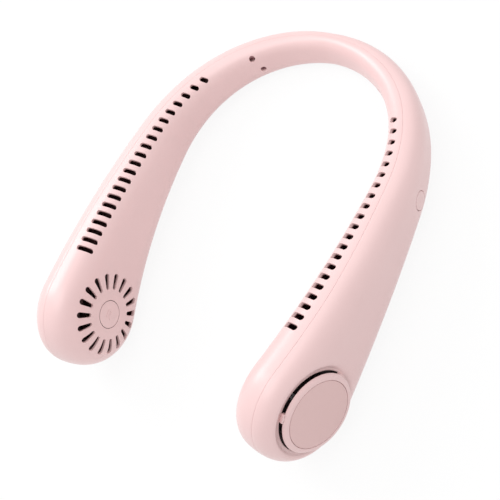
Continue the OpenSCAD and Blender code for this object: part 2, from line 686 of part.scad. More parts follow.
// Fan wheel: curved blades on both sides of a plate, with an end ring on each side
blade_lean_turn = 26;
blade_step_count = 4;
function blade_point(k, t) = let (
        r = blade_r_in + (wheel_r - fuse - blade_r_in) * k,
        a = -blade_lean_turn * k * k)
    r * along(a) + t * along(a + 90);
module blades(h) linear_extrude(h) for (i = [0 : blade_count - 1]) rotate(i * 360 / blade_count)
    polygon(concat(
        [for (j = [0 : blade_step_count]) blade_point(j / blade_step_count, -blade_t / 2)],
        [for (j = [blade_step_count : -1 : 0]) blade_point(j / blade_step_count, blade_t / 2)]));
module ring(r_in, r_out, low, top) rotate_extrude($fn = 128)
    translate([r_in, low]) square([r_out - r_in, top - low]);
hub_r = 2.2;
hub_rise = 2;
ring_w = 3;
module impeller(side) color(wheel_pink) resting() sided(side) in_pod() {
    ring(hub_r + seat_gap, wheel_r, plate_low, plate_top);
    ring(can_r + seat_gap, can_r + seat_gap + hub_wall, can_low, plate_low + fuse);
    ring(wheel_r - ring_w, wheel_r, wheel_low, wheel_low + plate_t);
    ring(wheel_r - ring_w, wheel_r, wheel_top - plate_t, wheel_top);
    translate([0, 0, wheel_low + fuse]) blades(plate_low + fuse - wheel_low);
    translate([0, 0, plate_top - fuse]) blades(wheel_top - plate_top);
}

// Outrunner motor on a bearing tube in the boss of the inner shell
module rotor_can(side) color("silver") resting() sided(side) in_pod() rotate_extrude($fn = 96)
    polygon([
        [shaft_r, can_top - can_wall],
        [can_r - can_wall, can_top - can_wall],
        [can_r - can_wall, can_low],
        [can_r, can_low],
        [can_r, can_top],
        [hub_r, can_top],
        [hub_r, can_top + hub_rise],
        [shaft_r, can_top + hub_rise]]);
module magnet_ring(side) color("dimgray") resting() sided(side) in_pod()
    ring(can_r - can_wall - magnet_t, can_r - can_wall, can_low + run_gap, core_low + core_h + coil_rise);
module motor_shaft(side) color("silver") resting() sided(side) in_pod()
    translate([0, 0, shaft_low]) cylinder(r = shaft_r, h = can_top + hub_rise - shaft_low, $fn = 48);
module bearing_tube(side) color("goldenrod") resting() sided(side) in_pod()
    ring(shaft_r + shaft_fit, tube_r, tube_low, tube_top);
tooth_w = 1.5;
shoe_t = 0.8;
shoe_gap_turn = 7;
core_hub_r = 3.6;
module pole_shoe() {
    sweep = 180 / pole_count - shoe_gap_turn / 2;
    polygon(concat(
        [for (i = [0 : blade_step_count]) core_r * along(-sweep + 2 * sweep * i / blade_step_count)],
        [for (i = [blade_step_count : -1 : 0]) (core_r - shoe_t) * along(-sweep + 2 * sweep * i / blade_step_count)]));
}
module poles() for (i = [0 : pole_count - 1]) rotate(i * 360 / pole_count) children();
module stator_core(side) color("gray") resting() sided(side) in_pod() translate([0, 0, core_low])
    linear_extrude(core_h) {
        difference() {
            circle(r = core_hub_r, $fn = 64);
            circle(r = tube_r + seat_gap, $fn = 64);
        }
        poles() {
            translate([core_hub_r - fuse, -tooth_w / 2])
                square([core_r - core_hub_r - shoe_t + 2 * fuse, tooth_w]);
            pole_shoe();
        }
    }
coil_w = 2.7;
coil_from = core_hub_r + 2 * fuse;
coil_len = core_r - shoe_t - coil_from - fuse;
module motor_coils(side) color("chocolate") resting() sided(side) in_pod()
    translate([0, 0, core_low - coil_rise]) poles() difference() {
        translate([coil_from, -coil_w / 2, 0]) cube([coil_len, coil_w, core_h + 2 * coil_rise]);
        translate([coil_from - overrun, -tooth_w / 2 - seat_gap, coil_rise - seat_gap])
            cube([coil_len + 2 * overrun, tooth_w + 2 * seat_gap, core_h + 2 * seat_gap]);
    }

module battery_cell(side) color("steelblue") resting() sided(side) at_cell()
    translate([-cell_len / 2, 0, 0]) rotate([0, 90, 0]) cylinder(r = cell_r, h = cell_len, $fn = 64);

// Power button, its switch and the board with the charging socket, all in the left arm
module power_button() color(pink) resting() at_button() {
    translate([0, 0, flange_low]) cylinder(r = flange_r, h = flange_t, $fn = 96);
    translate([0, 0, flange_low])
        cylinder(r = button_r, h = button_face + button_proud - flange_low, $fn = 96);
}
module switch_plunger() color("dimgray") resting() at_button()
    translate([0, 0, switch_top - plunger_sunk])
        cylinder(r = plunger_r, h = flange_low - seat_gap - switch_top + plunger_sunk, $fn = 48);
module tact_switch() color("silver") resting() at_button() difference() {
    translate([-switch_w / 2, -switch_w / 2, switch_low]) cube([switch_w, switch_w, switch_t]);
    translate([0, 0, switch_top - plunger_sunk - button_travel - seat_gap])
        cylinder(r = plunger_r + seat_gap, h = 2 * switch_t, $fn = 48);
}
module control_board() color("darkgreen") resting() at_board()
    translate([0, 0, switch_low - board_t]) linear_extrude(board_t) polygon([
        [-board_len / 2, -board_down],
        [-notch_x, -board_down],
        [-notch_x, notch_top],
        [notch_x, notch_top],
        [notch_x, -board_down],
        [board_len / 2, board_rise - board_down],
        [board_len / 2, board_up],
        [-board_len / 2, board_up]]);
module usb_socket() color("silver") resting() at_socket() {
    linear_extrude(socket_deep) difference() {
        slot_outline(socket_w, socket_t);
        slot_outline(socket_w - 2 * socket_wall, socket_t - 2 * socket_wall);
    }
    translate([0, 0, socket_deep - socket_wall]) linear_extrude(socket_wall)
        slot_outline(socket_w - socket_wall, socket_t - socket_wall);
    translate([-socket_w / 3 - socket_wall, -socket_wall, socket_t / 3])
        cube([2 * socket_w / 3 + 2 * socket_wall, 2 * socket_wall, socket_deep - socket_t / 3]);
}

// Leads: from the board round the nape to the right cell, and from the board to the left cell
lead_r = 1.2;
lead_side_count = 8;
lead_step_count = 32;
board_edge = button_run - board_len / 2 - run_gap;
cell_edge = cell_run - cell_len / 2 - run_gap;
screw_mid_share = (screw_shares[0] + screw_shares[1]) / 2;
function high_z(s) = half(s) * (screw_mid_share - 1);
function low_z(s) = floor_z(s) - liner_t - lead_r - run_gap;
function lead_z(s) = high_z(abs(s))
    + (low_z(abs(s)) - high_z(abs(s))) * ease(abs(s), duct_from - 3 * duct_ramp, duct_from)
    + (s < 0 ? (bay_mid(-s) - low_z(-s)) * ease(-s, board_edge, cell_edge) : 0);
lead_n = switch_low - board_t;
lead_swing = board_len * board_len / (8 * shoulder_r);
function lead_place(s) = let (n = s > 0 ? (lead_n + lead_swing) * ease(s, duct_from, board_edge) : 0)
    placed([abs(s), 0], [0, n, lead_z(s) + half(abs(s))], s < 0 ? -1 : 1);
function lead_ring(a, b, at) = let (
        d = (b - a) / norm(b - a),
        u = cross(d, [0, 0, 1]) / norm(cross(d, [0, 0, 1])),
        v = cross(u, d),
        turn = 360 / lead_side_count)
    [for (j = [0 : lead_side_count - 1]) at + lead_r * (cos(turn * j) * u + sin(turn * j) * v)];
module lead(path) {
    last = len(path) - 1;
    swept([for (i = [0 : last]) lead_ring(path[max(0, i - 1)], path[min(last, i + 1)], path[i])]);
}
module crossover_cable() color("firebrick") resting()
    lead([for (i = [0 : lead_step_count]) lead_place(-cell_edge + (cell_edge + board_edge) * i / lead_step_count)]);
front_edge = button_run + board_len / 2 + 2 * run_gap;
function short_lead_place(k) = let (
        s = front_edge + (cell_edge - front_edge) * k,
        z = low_z(front_edge) - lead_r + (bay_mid(cell_edge) - low_z(front_edge) + lead_r) * ease(k, 0, 1))
    placed([s, 0], [0, lead_n * (1 - ease(k, 0, 1)), z + half(s)], 1);
module left_battery_lead() color("firebrick") resting()
    lead([for (i = [0 : lead_side_count]) short_lead_place(i / lead_side_count)]);

inner_shell();
outer_shell();
intake_cap("left");  // left_intake_cap
intake_cap("right");  // right_intake_cap
cap_inlay("left");  // left_cap_inlay
cap_inlay("right");  // right_cap_inlay
side_disc("left");  // left_side_disc
side_disc("right");  // right_side_disc
scroll_wall("left");  // left_scroll_wall
scroll_wall("right");  // right_scroll_wall
duct_floor("left");  // left_duct_floor
duct_floor("right");  // right_duct_floor
impeller("left");  // left_impeller
impeller("right");  // right_impeller
rotor_can("left");  // left_rotor_can
rotor_can("right");  // right_rotor_can
magnet_ring("left");  // left_magnet_ring
magnet_ring("right");  // right_magnet_ring
motor_shaft("left");  // left_motor_shaft
motor_shaft("right");  // right_motor_shaft
bearing_tube("left");  // left_bearing_tube
bearing_tube("right");  // right_bearing_tube
stator_core("left");  // left_stator_core
stator_core("right");  // right_stator_core
motor_coils("left");  // left_motor_coils
motor_coils("right");  // right_motor_coils
battery_cell("left");  // left_battery_cell
battery_cell("right");  // right_battery_cell
power_button();
switch_plunger();
tact_switch();
control_board();
usb_socket();
shell_screws();
crossover_cable();
left_battery_lead();
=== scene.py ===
# %% [markdown]
# # A neck fan, dressed for its portrait
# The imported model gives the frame: its bodies, its joints and the place of every piece. This
# notebook lays the looks over it. The moulded shells, the fan wheels and the trim are made anew
# with soft edges and clean curves, and what already has the right form only gets a finish.

# %% Load the frame and keep its box
import json
import math

import bpy
import numpy as np
from mathutils import Matrix, Vector
from mathutils.geometry import delaunay_2d_cdt


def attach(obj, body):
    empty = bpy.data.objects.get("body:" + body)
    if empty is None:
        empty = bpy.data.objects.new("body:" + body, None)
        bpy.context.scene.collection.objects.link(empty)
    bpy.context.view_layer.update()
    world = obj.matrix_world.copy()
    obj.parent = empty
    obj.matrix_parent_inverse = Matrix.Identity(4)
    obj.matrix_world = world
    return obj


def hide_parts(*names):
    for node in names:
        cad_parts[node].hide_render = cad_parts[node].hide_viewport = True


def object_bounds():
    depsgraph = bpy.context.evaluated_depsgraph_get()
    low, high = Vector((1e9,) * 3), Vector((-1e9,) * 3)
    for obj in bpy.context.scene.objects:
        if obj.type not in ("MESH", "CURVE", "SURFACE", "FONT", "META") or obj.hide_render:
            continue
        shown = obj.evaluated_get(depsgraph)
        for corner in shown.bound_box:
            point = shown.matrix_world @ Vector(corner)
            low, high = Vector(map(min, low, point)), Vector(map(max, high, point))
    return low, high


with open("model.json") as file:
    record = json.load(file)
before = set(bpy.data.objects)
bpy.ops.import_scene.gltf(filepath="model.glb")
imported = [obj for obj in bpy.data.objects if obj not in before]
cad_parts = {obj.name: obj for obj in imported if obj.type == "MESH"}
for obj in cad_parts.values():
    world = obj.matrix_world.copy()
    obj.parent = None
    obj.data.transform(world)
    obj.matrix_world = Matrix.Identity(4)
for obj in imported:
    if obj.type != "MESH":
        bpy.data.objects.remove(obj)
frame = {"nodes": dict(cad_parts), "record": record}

scene = bpy.context.scene
cad_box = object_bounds()

# %% [markdown]
# ## Where the picture is taken from
# The fan lies on a table and is seen from its own left, high up, with the camera rolled over so
# that the arms hang down the picture. A 72 mm lens from half a metre keeps the near pod a little
# larger than the far one, as in the picture that the fan is made after. The place and the turn
# of the camera were fitted to the outline once and are written here as plain numbers.

# %% The camera
MM = 0.001
LENS, SENSOR, NEAREST, FURTHEST = 72.0, 36.0, 0.02, 20.0
CAMERA_PLACE, CAMERA_TURN = (306.44, -81.84, 447.14), (21.2082, 29.2154, 26.4304)
lens = bpy.data.cameras.new("portrait_lens")
lens.lens, lens.sensor_width = LENS, SENSOR
lens.clip_start, lens.clip_end = NEAREST, FURTHEST
camera = bpy.data.objects.new("portrait_camera", lens)
camera.location = [c * MM for c in CAMERA_PLACE]
camera.rotation_euler = [math.radians(a) for a in CAMERA_TURN]
scene.collection.objects.link(camera)
scene.camera = camera
print("camera at", [round(c, 3) for c in camera.location])

# %% [markdown]
# ## Writing graphs as sums
# A finish in Blender is a graph of nodes, and so is a Geometry Nodes tree. Long graphs are hard
# to read as code, so one small class wraps a socket and lets plus, minus and times add the Math
# nodes, and one method adds any other node. Colours are mixed with Mix nodes, because a Math
# node would turn them grey.

# %% A wrapped socket


def as_sum(operation, turned=False):
    """An operator that adds a Math node, with its two values turned round if asked."""
    return lambda self, other: self.sum(operation, *((other, self) if turned else (self, other)))


class Wire:
    """An output of a node that can be used in sums."""

    def __init__(self, graph, socket):
        self.graph, self.socket = graph, socket

    def sum(self, operation, *values):
        return self.graph.node("ShaderNodeMath", {"operation": operation}, dict(enumerate(values)))

    def output(self, name):
        """Another output of the same node."""
        return Wire(self.graph, self.socket.node.outputs[name])

    __add__ = __radd__ = as_sum("ADD")
    __mul__ = __rmul__ = as_sum("MULTIPLY")
    __sub__, __rsub__ = as_sum("SUBTRACT"), as_sum("SUBTRACT", turned=True)
    __truediv__, __gt__ = as_sum("DIVIDE"), as_sum("GREATER_THAN")


class Graph:
    """A node tree whose nodes are added by type, settings and inputs."""

    def put(self, socket, value):
        if isinstance(value, Wire):
            self.tree.links.new(value.socket, socket)
        elif socket.type == "RGBA" and len(value) == 3:
            socket.default_value = (*value, 1.0)
        else:
            socket.default_value = value

    def node(self, kind, settings, inputs, output=0):
        """The output of a new node, or the node itself if it has none. A list goes to one socket."""
        made = self.tree.nodes.new(kind)
        for key, value in settings.items():
            setattr(made, key, value)
        for key, value in inputs.items():
            for one in value if isinstance(value, list) else [value]:
                self.put(made.inputs[key], one)
        return Wire(self, made.outputs[output]) if len(made.outputs) else made


print("graphs ready")

# %% [markdown]
# ## One class for a finish
# Every finish starts from Blender's standard shader. Its constants are written straight on the
# sockets, and what varies over the surface comes from a few helpers: noise, a soft step, a mix
# of two colours and a bump. Noise is read in the object's own coordinates, so nothing swims.

# %% A finish: the graph of one material
SOCKET_NAMES = {"ior": "IOR", "gloss": "Specular IOR Level"}


class Finish(Graph):
    """A material on the standard shader, whose constants are given by the shader's own names."""

    def __init__(self, name, **constants):
        self.material = bpy.data.materials.new(name)
        self.material.use_nodes = True
        self.tree = self.material.node_tree
        self.tree.nodes.clear()
        self.shader = self.node("ShaderNodeBsdfPrincipled", {}, {})
        self.end = self.node("ShaderNodeOutputMaterial", {}, {"Surface": self.shader})
        self.place = self.node("ShaderNodeTexCoord", {}, {}, "Object")
        self.set(**constants)

    def set(self, **sockets):
        inputs = self.shader.socket.node.inputs
        for name, value in sockets.items():
            self.put(inputs[SOCKET_NAMES.get(name, name.replace("_", " ").title())], value)
        return self.material

    def noise(self, scale, detail=2.0, rough=0.5):
        sizes = {"Vector": self.place, "Scale": scale, "Detail": detail, "Roughness": rough}
        return self.node("ShaderNodeTexNoise", {"noise_dimensions": "3D"}, sizes)

    def grade(self, value, low, high, to_low=0.0, to_high=1.0):
        spans = {"Value": value, "From Min": low, "From Max": high, "To Min": to_low, "To Max": to_high}
        return self.node("ShaderNodeMapRange", {"interpolation_type": "SMOOTHSTEP"}, spans)

    def mix(self, share, first, second):
        return self.node("ShaderNodeMix", {"data_type": "RGBA"}, {0: share, 6: first, 7: second}, 2)

    def bump(self, height, depth, strength):
        return self.node("ShaderNodeBump", {}, {"Height": height, "Distance": depth, "Strength": strength})

    def attribute(self, name):
        return self.node("ShaderNodeAttribute", {"attribute_name": name}, {}, "Fac")


print("a finish reads", len(SOCKET_NAMES), "sockets under shorter names")

# %% [markdown]
# ## One class for a Geometry Nodes recipe
# Slots, blades and screws repeat, so each kind is set out by a small tree with named sizes. The
# tree is run once on a mesh and its result is kept as a plain mesh, so the piece that is made
# from it carries no modifier.

# %% A recipe: the graph of one Geometry Nodes tree


class Recipe(Graph):
    """A Geometry Nodes tree with named inputs, run on a mesh and turned back into a plain mesh."""

    KINDS = {int: "NodeSocketInt", float: "NodeSocketFloat"}

    def __init__(self, name, **sizes):
        self.tree = bpy.data.node_groups.new(name, "GeometryNodeTree")
        face = self.tree.interface
        for way in ("INPUT", "OUTPUT"):
            face.new_socket("Mesh", in_out=way, socket_type="NodeSocketGeometry")
        self.sizes = sizes
        for title, value in sizes.items():
            socket = face.new_socket(title, in_out="INPUT", socket_type=self.KINDS[type(value)])
            socket.default_value = value
        self.mesh = self.node("NodeGroupInput", {}, {}, "Mesh")
        self.size = {title: self.mesh.output(title) for title in sizes}

    def vector(self, operation, *values):
        return self.node("ShaderNodeVectorMath", {"operation": operation}, dict(enumerate(values)))

    def stored(self, name):
        """An arrow that each point of the mesh carries under a name."""
        return self.node("GeometryNodeInputNamedAttribute", {"data_type": "FLOAT_VECTOR"}, {"Name": name})

    def close(self, geometry, material):
        """Realises the instances, gives them their material and ends the tree."""
        real = self.node("GeometryNodeRealizeInstances", {}, {0: geometry})
        dressed = self.node("GeometryNodeSetMaterial", {}, {"Geometry": real, "Material": material})
        self.node("NodeGroupOutput", {}, {"Mesh": dressed})

    def run(self, mesh, **changes):
        """The finished mesh, for the sizes that are given and the tree's own for the rest."""
        holder = bpy.data.objects.new("recipe_holder", mesh)
        scene.collection.objects.link(holder)
        modifier = holder.modifiers.new("recipe", "NODES")
        modifier.node_group = self.tree
        names = {i.name: i.identifier for i in self.tree.interface.items_tree if i.in_out == "INPUT"}
        for title, value in {**self.sizes, **changes}.items():
            modifier[names[title]] = value
        graph = bpy.context.evaluated_depsgraph_get()
        made = bpy.data.meshes.new_from_object(holder.evaluated_get(graph))
        holder.modifiers.remove(modifier)
        bpy.data.objects.remove(holder)
        return made


def places(mesh):
    """The places of a mesh's points."""
    return np.array([v.co[:] for v in mesh.vertices])


print("recipes take", sorted(kind.__name__ for kind in Recipe.KINDS))

# %% Colours as they read on screen


def srgb(red, green, blue):
    """A colour as it reads on screen, turned into the light values that a shader mixes."""
    def light(c):
        c = c / 255
        return c / 12.92 if c <= 0.04045 else ((c + 0.055) / 1.055) ** 2.4
    return light(red), light(green), light(blue)


print("screen pink", [round(c, 3) for c in srgb(235, 203, 201)])

# %% [markdown]
# ## The skin of the band, as a formula
# The whole neckband is one form. In plan its centreline is three arcs: round the nape, over the
# shoulder and down a nearly straight arm. At each run along it the cross-section has a flat
# height in its middle and superellipse shoulders, and it deepens in one long sweep into a round
# pod. These are the same rules and sizes that the model follows, in millimetres, so a point made
# here lies on the model's skin without any fitting.

# %% Sizes of the plan, the side outline and the section
INNER, OUTER = -1, 1
NAPE_R, NAPE_TURN = 76.5, 69.8
SHOULDER_R, SHOULDER_TURN = 95.0, 17.7
ARM_R, ARM_RUN = 514.0, 106.8
NAPE_DEPTH, POD_R, THROAT_R = 20.3, 30.3, 646.0
NAPE_W = {INNER: 6.0, OUTER: 4.9}
POD_W = {INNER: 17.0, OUTER: 16.8}
LEAN = {INNER: 0.09, OUTER: 0.07}
POWER = {INNER: 2.4, OUTER: 2.7}
WIDEN_POWER, ROUND_SHARE, ROUND_LOSS = 0.53, 0.87, 0.23
WALL, SEAM_OUT, SEAM_FROM, SEAM_SPAN = 1.8, 3.5, 0.12, 0.63
REST_TILT, REST_MID, REST_LOW = -12.4811, -107.125, -19.8466

nape_run = NAPE_R * math.radians(NAPE_TURN)
shoulder_run = SHOULDER_R * math.radians(SHOULDER_TURN)
pod_run = nape_run + shoulder_run + ARM_RUN
throat_rise = math.sqrt((POD_R + THROAT_R) ** 2 - (THROAT_R + NAPE_DEPTH - POD_R) ** 2)
throat_from = max(0.0, pod_run - throat_rise)
throat_drop = THROAT_R - math.sqrt(THROAT_R ** 2 - (pod_run - throat_rise - throat_from) ** 2)
throat_to = pod_run - throat_rise * POD_R / (POD_R + THROAT_R)
print("run to the pod's centre", round(pod_run, 2), "mm")

# %% Plan, depth and width at any run
shoulder_angle = math.radians(90 - NAPE_TURN)
arm_angle = shoulder_angle - math.radians(SHOULDER_TURN)


def by_stretch(s, on_nape, on_shoulder, on_arm):
    """Of three values, the one for the stretch of the band that a run lies on."""
    return np.where(s < nape_run, on_nape, np.where(s < nape_run + shoulder_run, on_shoulder, on_arm))


def outward(s):
    """Angle in plan, in radians, that faces away from the neck."""
    return by_stretch(s, math.pi / 2 - s / NAPE_R, shoulder_angle - (s - nape_run) / SHOULDER_R,
                      arm_angle - (s - nape_run - shoulder_run) / ARM_R)


def ray(angle):
    return np.stack([np.cos(angle), np.sin(angle)], -1)


def centre(s):
    """Point of the centreline in plan."""
    nape_mid = np.array([0.0, -NAPE_R])
    shoulder_mid = nape_mid + (NAPE_R - SHOULDER_R) * ray(shoulder_angle)
    arm_mid = shoulder_mid + (SHOULDER_R - ARM_R) * ray(arm_angle)
    aim = ray(outward(s))
    return by_stretch(s[..., None], nape_mid + NAPE_R * aim, shoulder_mid + SHOULDER_R * aim,
                      arm_mid + ARM_R * aim)


def depth(s):
    sweep = THROAT_R - np.sqrt(THROAT_R ** 2 - np.maximum(s - pod_run + throat_rise, 0) ** 2)
    swept = NAPE_DEPTH + sweep - throat_drop * (1 - s / pod_run)
    round_pod = POD_R + np.sqrt(np.maximum(POD_R ** 2 - (pod_run - np.minimum(s, pod_run)) ** 2, 0))
    return np.where(s <= throat_from, NAPE_DEPTH, np.where(s < throat_to, swept, round_pod))


def half_depth(s):
    """Half the band's depth at one run."""
    return float(depth(np.float64(s))) / 2


def growth(s):
    """How far the band has grown from the nape's depth to the pod's, from 0 to 1."""
    return np.maximum(0, (depth(s) - NAPE_DEPTH) / (2 * POD_R - NAPE_DEPTH))


def width(s, face):
    return NAPE_W[face] + (POD_W[face] - NAPE_W[face]) * growth(s) ** WIDEN_POWER


def rounding(s):
    """Height of the rounded part of the section, over the flat part."""
    return depth(s) / 2 * (ROUND_SHARE - ROUND_LOSS * growth(s))


def seam(s):
    """Distance of the parting line from the centreline, outward."""
    k = np.clip((growth(s) - SEAM_FROM) / SEAM_SPAN, 0, 1)
    return SEAM_OUT * k * k * (3 - 2 * k)


print("half depth at nape and pod", half_depth(0.0), half_depth(pod_run))

# %% [markdown]
# ## Unrolling the skin
# Vents and grille slots are easiest to lay out on a flat drawing, as a paper pattern is laid on
# cloth. So the skin of each half shell gets flat coordinates: the run along the band and the
# tape-measured height over the section, from the middle of the face up to the parting line. In
# front of the pod's centre the drawing is a half disc. A table of arc lengths turns a height on
# the drawing back into a place on the rounded section.

# %% Tables from tape height to the angle on the superellipse
TABLE_LINES, TABLE_COLUMNS, TOWARDS_NAPE = 240, 400, 0.85
ARC_STEPS, LAP_STEPS = 3000, 200
TABLE_RUNS = np.linspace(0, 1, TABLE_LINES) ** TOWARDS_NAPE * pod_run
TABLE_SHARES = np.linspace(0, 1, TABLE_COLUMNS)


def step_lengths(n, z):
    return np.hypot(np.diff(n), np.diff(z))


def arc_table(face):
    """For each run: the tape length of the rounded shoulder, and share of it -> angle."""
    lengths, angles = [], []
    for s in TABLE_RUNS:
        e, w, p = float(rounding(s)), float(width(s, face)), POWER[face]
        stop = math.asin((float(seam(s)) / w) ** (p / 2)) if face == OUTER else 0.0
        th = np.linspace(math.pi / 2, stop, ARC_STEPS)
        steps = step_lengths(w * np.sin(th) ** (2 / p), -e * np.cos(th) ** (2 / p))
        tape = np.concatenate([[0], np.cumsum(steps)])
        lengths.append(tape[-1])
        angles.append(np.interp(TABLE_SHARES * tape[-1], tape, th))
    return np.array(lengths), np.array(angles)


def over_flat(s, n):
    """Height of the outer face over its flat part, at a distance from the centreline."""
    return rounding(s) * (1 - (n / width(s, OUTER)) ** POWER[OUTER]) ** (1 / POWER[OUTER])


tables = {face: arc_table(face) for face in (INNER, OUTER)}
laps = [np.linspace(0, float(seam(s)), LAP_STEPS) for s in TABLE_RUNS]
lap_lengths = np.array([step_lengths(n, over_flat(s, n)).sum() for s, n in zip(TABLE_RUNS, laps)])


def flat_height(s):
    """Half of the section's flat middle."""
    return depth(s) / 2 - rounding(s)


def shoulder_height(s, face):
    """Tape height from the middle of the face to its top edge, or to the parting line."""
    return flat_height(s) + np.interp(s, TABLE_RUNS, tables[face][0])


def tape_top(s, face):
    """Tape height of the shell's edge."""
    lap = np.interp(s, TABLE_RUNS, lap_lengths) if face == INNER else 0
    return shoulder_height(s, face) + lap


print("tape height of the inner face at nape and pod",
      np.round(tape_top(np.array([0.0, pod_run]), INNER), 2))

# %% From the drawing to the skin in space
TINY, STEP = 1e-9, 0.04


def table_angle(s, share, face):
    """Angle on the superellipse, read between the table's lines."""
    row = np.interp(s, TABLE_RUNS, np.arange(TABLE_LINES))
    column = np.clip(share, 0, 1) * (TABLE_COLUMNS - 1)
    i = np.clip(row.astype(int), 0, TABLE_LINES - 2)
    j = np.clip(column.astype(int), 0, TABLE_COLUMNS - 2)
    u, v = row - i, column - j
    t = tables[face][1]
    return ((1 - u) * ((1 - v) * t[i, j] + v * t[i, j + 1])
            + u * ((1 - v) * t[i + 1, j] + v * t[i + 1, j + 1]))


def section(s, tape, face):
    """Outward and radial place on the section for a tape height of zero or more."""
    w, flat, p = width(s, face), flat_height(s), POWER[face]
    length = np.interp(s, TABLE_RUNS, tables[face][0])
    th = table_angle(s, (tape - flat) / length, face)
    n = face * w * np.sin(th) ** (2 / p)
    z = flat + rounding(s) * np.maximum(np.cos(th), 0) ** (2 / p)
    level = tape <= flat
    n, z = np.where(level, face * w, n), np.where(level, tape, z)
    if face == INNER:
        lap = np.interp(s, TABLE_RUNS, lap_lengths)
        lapped = seam(s) * np.clip((tape - flat - length) / np.maximum(lap, 1e-6), 0, 1)
        past = tape > flat + length
        n, z = np.where(past, lapped, n), np.where(past, flat + over_flat(s, lapped), z)
    return n, z


def skin(flat, face):
    """Points of the drawing, n x 2 in mm, to places on the skin in the band's own frame."""
    x, tape = flat[:, 0], flat[:, 1]
    in_front = x > pod_run
    s = np.minimum(x, pod_run)
    forward = np.maximum(x - pod_run, 0)
    reach = np.where(in_front, np.hypot(forward, tape), np.abs(tape))
    n, r = section(s, reach, face)
    ahead = r * np.where(in_front, forward / np.maximum(reach, TINY), 0)
    z = np.where(in_front, r * tape / np.maximum(reach, TINY), r * np.sign(tape))
    w = np.where(n < 0, width(s, INNER), width(s, OUTER))
    n = n * (1 - np.where(n < 0, LEAN[INNER], LEAN[OUTER]) * growth(s) * z / w)
    a, c = outward(s), centre(s)
    px = c[:, 0] + n * np.cos(a) + ahead * np.sin(a)
    py = c[:, 1] + n * np.sin(a) - ahead * np.cos(a)
    return np.stack([px, py, z - depth(s) / 2], -1)


def skin_normals(flat, face):
    """Outward normals of the skin, by small steps on the drawing."""
    du = skin(flat + [STEP, 0], face) - skin(flat - [STEP, 0], face)
    dv = skin(flat + [0, STEP], face) - skin(flat - [0, STEP], face)
    n = np.cross(dv, du) if face == OUTER else np.cross(du, dv)
    return n / np.maximum(np.linalg.norm(n, axis=1, keepdims=True), 1e-12)


def at_rest(points):
    """The band's own frame, in mm, to the resting frame, in metres."""
    c, s = math.cos(math.radians(REST_TILT)), math.sin(math.radians(REST_TILT))
    x, y, z = points[:, 0], points[:, 1], points[:, 2]
    return np.stack([x, y * c - z * s - REST_MID, y * s + z * c - REST_LOW], -1) * MM


test = at_rest(skin(np.array([[0.0, 0.0], [pod_run, 0.0], [pod_run, 40.0]]), INNER))
print("skin at the nape, the pod's middle and its top", np.round(test / MM, 1).tolist())

# %% Local frames along the band


def frame_at(s):
    """The outward angle and the centreline's point at one run."""
    return float(outward(np.float64(s))), centre(np.array([s]))[0]


def to_band(points, s=pod_run, up=0.0):
    """A local frame, x back along the band, y up and z outward, to the band's own frame."""
    a, c = frame_at(s)
    x, y, z = np.asarray(points).T
    return np.stack([c[0] + z * math.cos(a) - x * math.sin(a), c[1] + z * math.sin(a) + x * math.cos(a),
                     y + up - half_depth(s)], -1)


def from_band(points, s=pod_run):
    """The band's own frame to the local frame at one run."""
    a, c = frame_at(s)
    x, y = points[:, 0] - c[0], points[:, 1] - c[1]
    return np.stack([y * math.cos(a) - x * math.sin(a), points[:, 2] + half_depth(s),
                     x * math.cos(a) + y * math.sin(a)], -1)


print("a pod's middle in the band's frame", to_band([[0.0, 0.0, 0.0]]).round(1).tolist())

# %% [markdown]
# ## Holes that are drawn on the flat pattern
# A vent is a slot with round ends, and so is a grille slot, which only tapers. Geometry Nodes
# lay them out as outlines on the drawing: one tree puts a unit slot at each place of a row, with
# its length, width and turn. The realised outlines are then read back as closed loops, and cut
# into the pattern before it is wrapped round the band.

# %% The recipe for a row of slots
SLOT_CORNERS = 20
cutter = Recipe("slot_outlines", Corner_points=SLOT_CORNERS, First_width=2.0, Last_width=2.0)
ring = cutter.node("GeometryNodeMeshCircle", {"fill_type": "NONE"}, {
    "Vertices": cutter.size["Corner_points"], "Radius": 1.0})
ring = cutter.node("GeometryNodeTransform", {}, {0: ring, "Rotation": (0, 0, math.pi / SLOT_CORNERS)})
spread = cutter.node("GeometryNodeInstanceOnPoints", {}, {"Points": cutter.mesh, "Instance": ring})
spread = cutter.node("GeometryNodeRealizeInstances", {}, {0: spread})
spot, start, end = (cutter.stored(name) for name in ("spot", "start", "end"))
axis = cutter.vector("NORMALIZE", cutter.vector("SUBTRACT", end, start))
middle = cutter.vector("SUBTRACT", cutter.node("GeometryNodeInputPosition", {}, {}), spot)
ahead = cutter.node("ShaderNodeSeparateXYZ", {}, {0: middle}, "X")
at_end = ahead > 0.0
first, last = cutter.size["First_width"], cutter.size["Last_width"]
wide = first + (last - first) * at_end
across = cutter.node("ShaderNodeVectorRotate", {"rotation_type": "Z_AXIS"}, {
    "Vector": axis, "Angle": math.pi / 2})
base = cutter.node("ShaderNodeMix", {"data_type": "VECTOR"}, {0: at_end, 4: start, 5: end}, 1)
for arrow, share in ((axis, ahead), (across, ahead.output("Y"))):
    base = cutter.vector("MULTIPLY_ADD", arrow, share * wide * 0.5, base)
cutter.close(cutter.node("GeometryNodeSetPosition", {}, {"Geometry": spread, "Position": base}), None)
print("slot recipe with", len(cutter.tree.nodes), "nodes")

# %% Closed outlines, in mm on the drawing
LOOP_PITCH, APART, HALVINGS, SETTLING = 0.6, 10.0, 40, 12


def refined(loop, pitch):
    """Adds points on the long edges of a closed loop."""
    points = []
    for a, b in zip(loop, np.roll(loop, -1, 0)):
        count = max(1, int(math.ceil(np.linalg.norm(b - a) / pitch)))
        points += [a + (b - a) * k / count for k in range(count)]
    return np.array(points)


